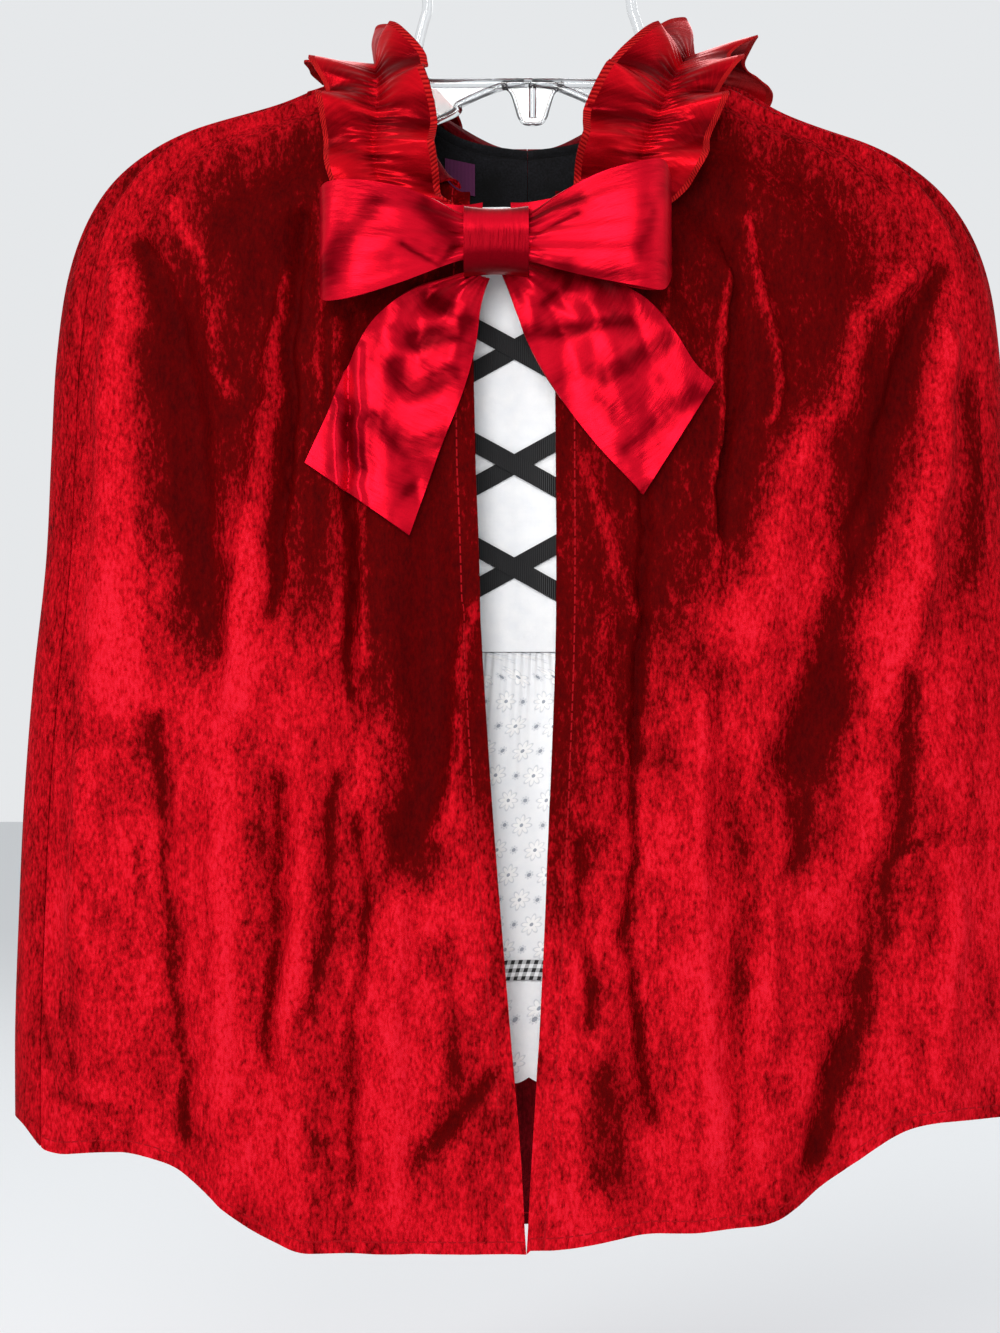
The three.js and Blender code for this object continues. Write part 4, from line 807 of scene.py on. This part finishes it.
def ruffle(rows, side):
    def surface(u, v):
        row = ruffle_row(rows, u)
        across = v * 2 - 1
        is_inner = (across < 0)[..., None]
        lean = np.where(is_inner, unit(stack(row["in_x"], row["in_y"], row["in_z"])),
                        unit(stack(row["out_x"], row["out_y"], row["out_z"])))
        width = RUFFLE_WIDTH_SHARE * np.where(across < 0, row["in_width"], row["out_width"])
        spread = np.abs(across)
        phase = np.where(across < 0, 0, OUTER_PHASE)
        end_fade = smooth_step(0, 0.12, u) * (1 - smooth_step(0.93, 1, u))
        uneven = 1 + 0.35 * speckle(u * 7 + 5 * side, 0 * across, 30)
        turn = (u * RUFFLE_WAVES + phase) * 2 * np.pi
        wave = WAVE_HEIGHT * uneven * end_fade * spread ** 1.3 * (0.5 + np.sin(turn))
        wobble = 0.7 * np.sin((u * 21 + phase + 0.3 * speckle(u * 9, across * 0, 31)) * 2 * np.pi)
        pucker = 1.1 * np.exp(-spread * 5) * np.sin(u * 62 * 2 * np.pi + 2 * speckle(u * 30, across * 0, 32))
        crease = 0.8 * speckle(u * 60 + 3 * side, spread * 2, 33) * smooth_step(0, 0.2, spread)
        lift = wave + 3 * np.sin(spread * np.pi) + end_fade * (wobble * spread ** 2 + pucker + crease)
        points = gather_line(rows, u) + lean * (width * spread)[..., None]
        points = points + ruffle_facing(rows, side, u) * lift[..., None]
        points[..., 0] += side * SEAM_GAP * 0.7
        return rest_on_front(points, SATIN + 2.4)
    return surface


# Painted light of the ruffle: painted highlight on the crests of its big waves and painted shade in their
# troughs, with random streaks.
def ruffle_painted_light(u, v, points):
    spread = np.abs(v * 2 - 1)
    phase = np.where(v < 0.5, 0, OUTER_PHASE)
    wave = np.sin((u * RUFFLE_WAVES + phase) * 2 * np.pi)
    streak = 0.35 * speckle(u * 60, spread * 1.3, 34) * (1 - 0.6 * spread)
    return np.clip(0.45 + 0.3 * wave * spread ** 0.7 + streak, 0, 1)


ruffle_cloth = {"thickness": SATIN, "materials": [ruffle_satin], "slot": "red_satin", "painted_light_share": ruffle_painted_light,
                "serged": 3, "cut": (0.074, 0.46), "held": "gathered",
                "rests_on": ["hood_left", "hood_right"]}
ruffle_sides = (("left", ruffle_left, -1), ("right", ruffle_right, 1))
for side_name, rows, side in ruffle_sides:
    cloth(f"hood_ruffle_{side_name}_satin", ruffle(rows, side), 620, 28, facing=-side, **ruffle_cloth)


# Hood, dropped behind: it rises from the neck seam, rolls over the cape and hangs as a pouch

hood_rings = table("half_width back_y side_z back_z", [
    (84, 40, -129.7, -171.7),
    (83.5, 42.5, -127.5, -164),
    (83, 56, -126, -164),
    (83, 69, -125, -212),
    (83, 76, -124.5, -285),
    (83, 84, -124, -326),
    (83, 92, -123.5, -285),
    (83, 95, -123, -240),
])
HOOD_START = 25
HOOD_ROLL = 8
LAST_RING = (len(hood_rings["back_z"]) - 1) / len(hood_rings["back_z"])


def hood(rows, side):
    """At the front it rises straight to the ruffle, behind it follows the rings, and the two blend."""
    def surface(u, v):
        degrees = mix(HOOD_START, 180, u)
        angle = np.radians(degrees)
        neck = cape_point(side * degrees, np.zeros_like(u))
        neck[..., 2] += SEAM_GAP + 0.9
        edge = gather_line(rows, u) - 4 * ruffle_facing(rows, side, u)
        roll = HOOD_ROLL * (1 - 0.6 * smooth_step(90, 130, degrees)) * np.sin(v ** 0.7 * np.pi)
        upward = unit(stack(0 * u, -np.cos(angle) * 0.3, 1 + 0 * u))
        front = mix(neck, edge, v[..., None]) + upward * roll[..., None]
        ring = between(hood_rings, np.minimum(1, v / LAST_RING))
        back_share = smooth_step(108, 172, degrees)
        ratio = section_reach(np.sin(angle), np.cos(angle))
        side_drop, back_drop = (ring[key] - hood_rings[key][0] for key in ("side_z", "back_z"))
        back = stack(side * ring["half_width"] * ratio * np.sin(angle),
                     -ring["back_y"] * ratio * np.cos(angle),
                     neck[..., 2] + mix(side_drop, back_drop, back_share))
        back = mix(back, edge, smooth_step(LAST_RING, 1, v)[..., None])
        points = mix(front, back, smooth_step(105, 165, degrees)[..., None])
        points[..., 0] += side * SEAM_GAP * 0.5
        return rest_on_front(points, 0.6, (degrees < 90) & (v > 0.05))
    return surface


# Painted sheen of the hood, which varies at random.
def hood_painted_sheen(u, v, points):
    x, z = points[..., 0], points[..., 2]
    return np.clip(0.45 + 0.25 * speckle(x / 16, z / 30, 41) + 0.12 * speckle(x / 6, z / 9, 42), 0, 1)


for side_name, rows, side in ruffle_sides:
    cloth(f"hood_{side_name}_velvet", hood(rows, side), 90, 110, facing=side, cut=(0.22, 0.31, 0.0215),
          painted_light_share=hood_painted_sheen, uv_start=NO_TOPSTITCHING, **cape_cloth)


# Bow: a short satin tube for the knot, two flat loops and two tails

knot = {"left": -35, "right": -0.5, "y": -74.5, "z": -231, "half_height": 16.5, "half_depth": 13,
        "pinch": 1.5, "roundness": 3}


def knot_surface(u, v):
    angle = u * 2 * np.pi
    waist = 1 - knot["pinch"] / knot["half_height"] * np.sin(v * np.pi)
    power = np.abs(np.cos(angle)) ** knot["roundness"] + np.abs(np.sin(angle)) ** knot["roundness"]
    flatten = power ** (-1 / knot["roundness"])
    y = knot["y"] + knot["half_depth"] * flatten * np.cos(angle)
    z = knot["z"] + knot["half_height"] * waist * flatten * np.sin(angle)
    return stack(mix(knot["left"], knot["right"], v), y, z)


# Creases of the flattened satin: its painted light (painted highlight above 0, painted shade below), its
# half width, and its line in x and z.
bow_creases = [
    (-0.6, 6.5, [(-81, -213), (-94, -226), (-104, -249)]), (0.25, 5, [(-77, -214), (-62, -227)]),
    (-0.6, 5, [(-57, -215), (-40, -230)]), (-0.8, 1.8, [(-67, -235), (-49, -245), (-38, -234)]),
    (0.4, 5, [(-94, -253), (-81, -240), (-74, -234)]), (0.4, 3.5, [(-67, -240), (-46, -246)]),
    (0.3, 4, [(-101, -260), (-54, -249)]), (0.4, 1.6, [(-104, -213), (-109, -242)]),
    (-0.7, 4, [(0, -222), (27, -210)]), (-0.8, 1.5, [(1, -231), (26, -219)]),
    (0.3, 6, [(27, -203), (61, -203)]), (0.35, 11, [(7, -233), (40, -226), (58, -226)]),
    (-0.55, 3.5, [(7, -242), (27, -250), (54, -252)]), (-0.5, 3.5, [(58, -240), (65, -219)]),
    (-0.8, 4.5, [(-63, -283), (-41, -279)]), (0.3, 3, [(-70, -271), (-41, -271), (-35, -258)]),
    (-0.75, 5.5, [(-73, -297), (-62, -310), (-38, -300)]),
    (0.35, 2.6, [(-81, -271), (-74, -289), (-35, -295)]),
    (0.35, 6, [(-89, -271), (-97, -303), (-113, -347)]), (-0.75, 5.5, [(-102, -314), (-90, -349)]),
    (-0.75, 5.5, [(-82, -324), (-65, -341), (-49, -335)]),
    (0.35, 3.5, [(-88, -306), (-85, -320), (-46, -316)]),
    (-0.5, 3.5, [(-70, -366), (-63, -361)]), (0.3, 5, [(-88, -357), (-59, -377)]),
    (-0.7, 4.5, [(-57, -258), (-35, -271)]), (-0.75, 3.6, [(0, -279), (26, -277), (54, -271)]),
    (0.4, 2.2, [(15, -265), (24, -271)]), (-0.5, 2.6, [(8, -262), (19, -252)]),
    (0.35, 7, [(8, -289), (47, -283)]), (-0.65, 5, [(40, -303), (52, -296), (73, -281)]),
    (-0.65, 5, [(52, -341), (78, -319), (89, -310)]), (0.3, 5.5, [(27, -310), (40, -330), (59, -357)]),
    (-0.4, 4.5, [(34, -316), (44, -322)]), (0.35, 3.5, [(78, -337), (89, -319)]),
]


def crease_relief_and_painted_light(x, z):
    total = np.zeros(np.shape(x))
    wandered = x + 2 * speckle(z / 9, x / 14, 9)
    for painted_light, half_width, line in bow_creases:
        total += painted_light * bell(along_line(wandered, z, line)[0], 1.1 * half_width)
    return total


# Painted light of the bow's loops and tails: painted highlights and painted shade along the creases, with
# random tone.
def satin_painted_light(u, v, points):
    x, z = points[..., 0], points[..., 2]
    soft = 0.12 * speckle((x + z) / 24, (z - x) / 11, 51) + 0.08 * speckle(x / 5, z / 4, 52)
    return np.clip(0.62 + 0.75 * np.clip(crease_relief_and_painted_light(x, z), -0.6, 0.6) + soft, 0, 1)


# Painted light of the knot: painted shade all over, with a band of painted highlight 9 mm above its middle.
def knot_painted_highlight(u, v, points):
    z = points[..., 2]
    return np.clip(0.08 + 0.85 * bell(z - knot["z"] - 9, 4.5), 0, 1)


bow_cloth = {"materials": [bow_satin], "slot": "red_satin", "held": "folded",
             "rests_on": ["cape_front_left", "cape_front_right"]}
cloth("bow_knot_satin", knot_surface, 120, 60, thickness=2, facing=-1, around=True, cut=(0.1, 0.036),
      painted_light_share=knot_painted_highlight, **bow_cloth)

# Each row is a place round the flattened loop: x, y, and the heights of the loop's upper and lower edge.
loop_left = table("x y top bottom", [
    (-25, -83.3, -219, -239), (-37, -83.8, -217, -241.5), (-51, -86, -210, -247), (-70, -90, -204, -255),
    (-92, -91, -201, -262), (-106, -87, -201.5, -264), (-110, -80.5, -205, -261), (-106, -75, -204, -262),
    (-90, -73, -204, -259), (-65, -73, -208, -250), (-38, -72, -211, -236), (-25, -68.2, -209, -233),
])
loop_right = table("x y top bottom", [
    (-10, -83.3, -219, -239), (1.5, -83.8, -216, -242), (16, -87, -207, -247), (38, -91, -197, -253),
    (58, -92, -191.5, -257), (70, -87, -190, -258), (74, -80.5, -200, -250), (70, -75, -193, -256),
    (56, -73, -194, -255), (30, -73, -203, -248), (3, -72, -209, -236), (-10, -68.2, -209, -233),
])


def loop(rows):
    def surface(u, v):
        row = between(rows, u)
        near_knot = np.abs(u * 2 - 1) ** 2
        behind = smooth_step(0.45, 0.6, u)
        belly = 3 * (1 - near_knot) * np.sin(v * np.pi) * (1 - 1.3 * behind)
        pleat = 1.6 * near_knot * (1 - behind) * np.sin(v * 3 * 2 * np.pi)
        fine = 0.5 * near_knot * (1 - behind) * np.sin(v * 7 * 2 * np.pi + 3 * u)
        z = mix(row["top"], row["bottom"], v)
        lifted = 0.9 * (1 - behind) * crease_relief_and_painted_light(row["x"], z)
        return stack(row["x"], row["y"] - belly + pleat + fine - lifted, z)
    return surface


cloth("bow_loop_left_satin", loop(loop_left), 130, 56, thickness=SATIN, facing=-1,
      cut=(0.195, 0.064, 0.0082), painted_light_share=satin_painted_light, **bow_cloth)
cloth("bow_loop_right_satin", loop(loop_right), 130, 56, thickness=SATIN, facing=1,
      cut=(0.2, 0.07, 0.0086), painted_light_share=satin_painted_light, **bow_cloth)

# Each row is a pair of points on the tail's two edges. It lies on the cape's front.
TAIL_LIFT = 6.6
tail_left = table("left_x left_z right_x right_z", [
    (-33, -246.8, -22, -248.6), (-60, -254, -26, -265), (-84, -272, -29, -287),
    (-98, -298, -36, -312), (-109, -324, -48, -342), (-120, -348, -64, -387),
])
tail_right = table("left_x left_z right_x right_z", [
    (-14, -246, -2, -240), (-7, -268, 32, -244), (2, -290, 60, -258),
    (17, -314, 77, -277), (37, -340, 88, -294), (61, -365, 99, -305),
])


def tail(rows):
    def surface(u, v):
        row = between(rows, v)
        x = mix(row["left_x"], row["right_x"], u)
        z = mix(row["left_z"], row["right_z"], u)
        pleat = 0.96 * np.sin(u * 2.5 * np.pi + 0.6) * (1 - 0.5 * v)
        fine = 0.5 * np.sin(u * 9 * np.pi) * np.exp(-v * 4) - 1.1 * crease_relief_and_painted_light(x, z)
        return stack(x, cape_front_at(x, z)[..., 1] - TAIL_LIFT + pleat + fine, z)
    return surface


for side_name, rows in (("left", tail_left), ("right", tail_right)):
    cloth(f"bow_tail_{side_name}_satin", tail(rows), 60, 90, thickness=SATIN, facing=-1,
          cut=(0.075, 0.148, 0.0078), painted_light_share=satin_painted_light, **bow_cloth)


# Dress bodice

bodice = table("neck_x neck_z side_x side_z back_z fullness", [
    (70, -126.6, 125, -149.7, -164, 142), (61, -165, 117, -190, -199, 140), (48, -199, 118, -228, -232, 138),
    (46, -250, 135, -266, -270, 135), (45.5, -320, 134.5, -330, -330, 134.5),
    (44.5, -385, 130, -390, -390, 130), (43, -449, 126, -449, -449, 126),
])
NECK_X, NECK_Z = 70, -126.6
TOP_FULLNESS, TOP_SIDE = 142, 125
FRONT_DEPTH, BACK_DEPTH = 33, 28
SHOULDER_SLOPE = 0.42
SHOULDER_ROUNDING = 60
BACK_LENGTH = 285
BACK_CORNER_RISE = 29.4
PANEL_CENTRE_X = OPENING_X
PANEL_TOP = 2 / 6
PANEL_START = PANEL_TOP + 0.025
PANEL_SEAM_HALF = 0.35
SEAM_HALF = SEAM_GAP / 2


def bodice_depth(x, z, fullness, depth):
    """How far the bodice stands forward or back, rounded over the top of each shoulder."""
    shoulder_z = NECK_Z - np.maximum(0, np.abs(x) - NECK_X) * SHOULDER_SLOPE
    rise = 1 - np.clip((shoulder_z - z) / SHOULDER_ROUNDING, 0, 1)
    return 0.5 + depth * np.sqrt(1 - rise * rise) * np.sqrt(np.maximum(0, 1 - (x / fullness) ** 2))


def bodice_point(x, z, fullness, depth, forward):
    return stack(x, forward * bodice_depth(x, z, fullness, depth), z)


def arch_x(fullness, inner_x, outer_x, share):
    inner = np.arcsin(np.minimum(1, inner_x / fullness))
    outer = np.arcsin(np.minimum(1, outer_x / fullness))
    return fullness * np.sin(mix(inner, outer, share))


def panel_edge(level, side):
    return between(bodice, level)["neck_x"] + side * PANEL_CENTRE_X * smooth_step(0, PANEL_TOP, level)


def dress_side(side):
    def surface(u, v):
        level = v ** 1.5
        row = between(bodice, level)
        inner_x = panel_edge(level, side)
        x = arch_x(row["fullness"], inner_x + PANEL_SEAM_HALF, row["side_x"], u)
        share = (x - inner_x) / (row["side_x"] - inner_x)
        z = mix(row["neck_z"], row["side_z"], share)
        return bodice_point(side * x, z, row["fullness"], FRONT_DEPTH, -1)
    return surface


def front_panel(u, v):
    level = mix(PANEL_START, 1, v)
    row = between(bodice, level)
    x = mix(-panel_edge(level, -1) + PANEL_SEAM_HALF, panel_edge(level, 1) - PANEL_SEAM_HALF, u)
    points = bodice_point(x, row["neck_z"], row["fullness"], FRONT_DEPTH, -1)
    points[..., 1] += 0.35 * speckle(x / 14, row["neck_z"] / 25, 61)
    return points


def dress_back(side):
    """The top edge rises to a corner between the neck and the armhole, and it is bound."""
    def surface(u, v):
        level = v ** 1.5
        row = between(bodice, level)
        corner_turn = math.asin(NECK_X / TOP_FULLNESS) / math.asin(TOP_SIDE / TOP_FULLNESS)
        corner = 5 / 9
        after_corner = mix(corner_turn, 1, (u - corner) / (1 - corner))
        turn = np.where(u < corner, u / corner * corner_turn, after_corner)
        x = arch_x(row["fullness"], SEAM_HALF, row["side_x"], turn)
        top_x = arch_x(TOP_FULLNESS, SEAM_HALF, TOP_SIDE, turn) / TOP_SIDE
        corner_x = NECK_X / TOP_SIDE
        rise = np.where(top_x < corner_x, (top_x / corner_x) ** 4, (1 - top_x) / (1 - corner_x))
        z = mix(row["back_z"], row["side_z"], x / row["side_x"]) + BACK_CORNER_RISE * rise * (1 - level) ** 3
        points = bodice_point(side * x, z, row["fullness"], BACK_DEPTH, 1)
        down = level * BACK_LENGTH
        points[..., 1] -= 1.1 * bell(down - 4, 3) - 0.6 * bell(down - 9, 1.2)
        return points
    return surface


black_cloth = {"thickness": VELVET, "materials": [black_velvet], "slot": "black_velvet", "held": "hung",
               "rests_on": ["hanger"]}
for side_name, side in (("left", -1), ("right", 1)):
    cloth(f"dress_side_{side_name}_velvet", dress_side(side), 60, 110, facing=-side, cut=(0.1, 0.34, 0.027),
          **black_cloth)
    cloth(f"dress_back_{side_name}_velvet", dress_back(side), 90, 90, facing=side, cut=(0.155, 0.34, 0.041),
          **black_cloth)
cloth("dress_front_cotton", front_panel, 80, 120, thickness=COTTON, facing=-1, materials=[plain_cotton],
      slot="white_cotton", node="dress_front_panel", cut=(0.095, 0.25, 0.0227), held="hung",
      rests_on=["dress_side_left_velvet", "dress_side_right_velvet"])

# Skirt, check ribbon and hem ruffle

skirt_columns = "z half_width front back wave"
skirt_rows = table(skirt_columns, [
    (-449.4, 126, 32, 27, 0.5), (-500, 148, 37, 31, 2.8), (-560, 166, 41, 33.5, 3),
    (-616.6, 180.5, 43.6, 35.7, 3.4), (-627.5, 183, 44, 36, 3.5),
])
hem_rows = table(skirt_columns, [
    (-628, 183.5, 44, 36, 3.5), (-655, 191, 47, 37.5, 4), (-683, 197, 50, 39, 4.5),
])
SKIRT_WAVES = 13
SKIRT_GATHERS = 95
HEM_SCALLOPS = 42
GINGHAM_LIFT = 2.4


def skirt_panel(rows, forward, lift=0, first=0, scallop=0, gathers=0):
    def surface(u, v):
        level = mix(first, 1, v)
        row = between(rows, level)
        edge = SEAM_HALF / row["half_width"]
        angle = mix(-np.pi / 2 + edge, np.pi / 2 - edge, u)
        edge_fade = smooth_step(0, 0.04, u) * smooth_step(0, 0.04, 1 - u)
        gather_turn = u * SKIRT_GATHERS * 2 * np.pi + 2 * speckle(u * 40, level * 3, 62)
        small = gathers * np.sin(gather_turn) * np.exp(-level * 7)
        push = lift + edge_fade * (row["wave"] * np.cos(u * SKIRT_WAVES * 2 * np.pi) + small)
        depth = row["front" if forward < 0 else "back"]
        notch = 1 - np.abs(np.sin(u * HEM_SCALLOPS * np.pi))
        z = row["z"] + scallop * notch * smooth_step(0.8, 1, v) ** 2
        x = (row["half_width"] + push) * np.sin(angle)
        return stack(x, forward * (depth + push) * np.cos(angle) + forward * SEAM_HALF, z)
    return surface


for name, forward in (("front", -1), ("back", 1)):
    cloth(f"skirt_{name}_cotton", skirt_panel(skirt_rows, forward, gathers=0.9), 560, 60, thickness=COTTON,
          facing=forward, materials=[eyelet_cotton], slot="white_cotton", cut=(0.5, 0.18), held="gathered",
          rests_on=["dress_front_cotton"])
    cloth(f"hem_ruffle_{name}_cotton", skirt_panel(hem_rows, forward, scallop=3, gathers=0.3), 560, 26,
          thickness=COTTON, facing=forward, materials=[hem_cotton], slot="white_cotton",
          cut=(0.56, 0.056), held="gathered", rests_on=[f"skirt_{name}_cotton"])
    cloth(f"gingham_{name}_ribbon", skirt_panel(skirt_rows, forward, lift=GINGHAM_LIFT, first=0.75), 300, 8,
          thickness=RIBBON, facing=forward, materials=[check_ribbon], slot="check_ribbon",
          cut=(0.44, 0.011), held="laid", rests_on=[f"skirt_{name}_cotton"])

# Ribbon crosses on the white panel; the second ribbon of each steps over the first

LACE_WIDTH = 10
LACE_SLOPE = 0.55
LACE_HALF_RUN = 40.5
LACE_LIFT = 1.6
LACE_STEP = 1.4


def lace_strip(centre_z, slope_sign, is_over):
    def surface(u, v):
        run = mix(-LACE_HALF_RUN, LACE_HALF_RUN, u)
        x = PANEL_CENTRE_X + run
        z = centre_z + slope_sign * LACE_SLOPE * run + LACE_WIDTH * math.hypot(1, LACE_SLOPE) * (0.5 - v)
        row = between(bodice, np.full(np.shape(u), mix(PANEL_TOP, 1, 0.5)))
        over = LACE_STEP * (1 - smooth_step(11, 24, np.abs(run))) if is_over else 0
        return stack(x, -bodice_depth(x, z, row["fullness"], FRONT_DEPTH) - LACE_LIFT - over, z)
    return surface


for name, centre_z in (("high", -283.5), ("middle", -346.5), ("low", -403)):
    for letter, slope_sign, is_over in (("a", 1, False), ("b", -1, True)):
        cloth(f"lace_{name}_{letter}_ribbon", lace_strip(centre_z, slope_sign, is_over), 70, 8,
              thickness=RIBBON, facing=-1, materials=[black_ribbon], slot="black_ribbon",
              cut=(0.093, 0.01), held="laid", rests_on=["dress_front_cotton"])

# Label, left blank

LABEL_LEFT, LABEL_TOP = -47, -168
LABEL_WIDTH, LABEL_HEIGHT = 17, 18


def label_surface(u, v):
    x = LABEL_LEFT + LABEL_WIDTH * u
    z = LABEL_TOP - LABEL_HEIGHT * v - 0.2 * (x - LABEL_LEFT)
    return stack(x, bodice_depth(x, z, TOP_FULLNESS, BACK_DEPTH) - VELVET - 1, z)


cloth("neck_label_woven", label_surface, 24, 24, thickness=0.8, facing=1, materials=[label_cloth],
      slot="purple_label", cut=(0.017, 0.018), held="hung", rests_on=["dress_back_left_velvet"])

# Hanger

HOOK_RADIUS = 25
HOOK_CENTRE_Z = -22
HOOK_ROD = 3
BAR_Z = -130.5
ARM_TOP_END, ARM_LOW_END = (205, -189.3), (205, -199)
ARM_RADIUS = 2.4
PLATE_RIM = 0.4
TAB_X = 2.5
hanger_parts = []


def curve_part(name, points, is_closed, **settings):
    """A rod or plate of the hanger, drawn as a curve and made a mesh."""
    curve = bpy.data.curves.new(name, "CURVE")
    curve.dimensions = "3D" if "bevel_resolution" in settings else "2D"
    spline = curve.splines.new("POLY")
    spline.points.add(len(points) - 1)
    spline.points.foreach_set("co", np.c_[points * MILLIMETRE, np.ones(len(points))].reshape(-1))
    spline.use_cyclic_u = is_closed
    for setting, value in settings.items():
        setattr(curve, setting, value)
    part = bpy.data.objects.new(name, curve)
    bpy.context.collection.objects.link(part)
    part.select_set(True)
    bpy.context.view_layer.objects.active = part
    bpy.ops.object.convert(target="MESH")
    hanger_parts.append(bpy.context.object)
    bpy.ops.object.select_all(action="DESELECT")


def rod(name, corners, radius, count, is_closed=False):
    """A round rod along a smooth curve through its corners."""
    corners = [(x, 0, z) for x, z in corners]
    if is_closed:
        corners = [corners[-1], *corners, corners[0], corners[1]]
    first = 1 / (len(corners) - 1) if is_closed else 0
    line = between(table("x y z", corners), np.linspace(first, 1 - first, count + is_closed)[:count])
    points = stack(line["x"], line["y"], line["z"])
    curve_part(name, points, is_closed, bevel_depth=radius * MILLIMETRE, bevel_resolution=6,
               use_fill_caps=True)


def plate(name, outline, half_thickness):
    """A flat plate with rounded rims, drawn lying down and then stood up."""
    points = np.array([(x, z, 0) for x, z in outline], float)
    curve_part(name, points, True, fill_mode="BOTH", bevel_depth=PLATE_RIM * MILLIMETRE,
               extrude=(half_thickness - PLATE_RIM) * MILLIMETRE)
    hanger_parts[-1].rotation_euler = (math.radians(90), 0, 0)


turns = np.radians(np.arange(-50, 201, 12.5))
curl = zip(HOOK_RADIUS * np.cos(turns), HOOK_CENTRE_Z + HOOK_RADIUS * np.sin(turns))
rod("hook", [(0, -73), (0, -60), *curl], HOOK_ROD, 140)
rod("loop", [(-50, -75), (0, -72), (50, -75), (59, -92), (64.5, -112), (64, -126), (56, BAR_Z), (0, BAR_Z),
             (-56, BAR_Z), (-63, -126), (-62, -112), (-57, -92)], HOOK_ROD, 160, True)
for name, side in (("left", -1), ("right", 1)):
    arm_low = [(17, -133), (38, -142), (56, -153), ARM_LOW_END]
    web = [(-2, -130), (58, -129), ARM_TOP_END, *arm_low[::-1]]
    plate(f"arm_web_{name}", [(side * x, z) for x, z in web], 1.5)
    rod(f"arm_top_{name}", [(side * x, z) for x, z in [(57, -127.2), ARM_TOP_END]], ARM_RADIUS, 30)
    rod(f"arm_low_{name}", [(side * x, z) for x, z in [(2, -131), *arm_low]], ARM_RADIUS, 60)
tab_right = [(4, -152.8), (7, -149.5), (9, -143), (11.5, -136), (17, -130.5)]
tab = [(TAB_X - x, z) for x, z in tab_right[::-1]] + [(TAB_X + x, z) for x, z in tab_right]
plate("tab", tab, 1.3)
rod("tab_rim", tab, 1.2, 60)
rod("tab_rib", [(TAB_X, -131), (TAB_X, -150)], ARM_RADIUS, 12)
for part in hanger_parts:
    part.select_set(True)
bpy.context.view_layer.objects.active = hanger_parts[0]
bpy.ops.object.join()
clear_hanger = bpy.context.object
clear_hanger.name = "hanger_clear"
bpy.ops.object.transform_apply(location=True, rotation=True, scale=True)
bpy.ops.object.shade_smooth_by_angle(angle=math.radians(40))
bpy.ops.object.select_all(action="DESELECT")
clear_hanger.data.materials.clear()
clear_hanger.data.materials.append(clear_plastic)
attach(clear_hanger, "root")
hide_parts("hanger")
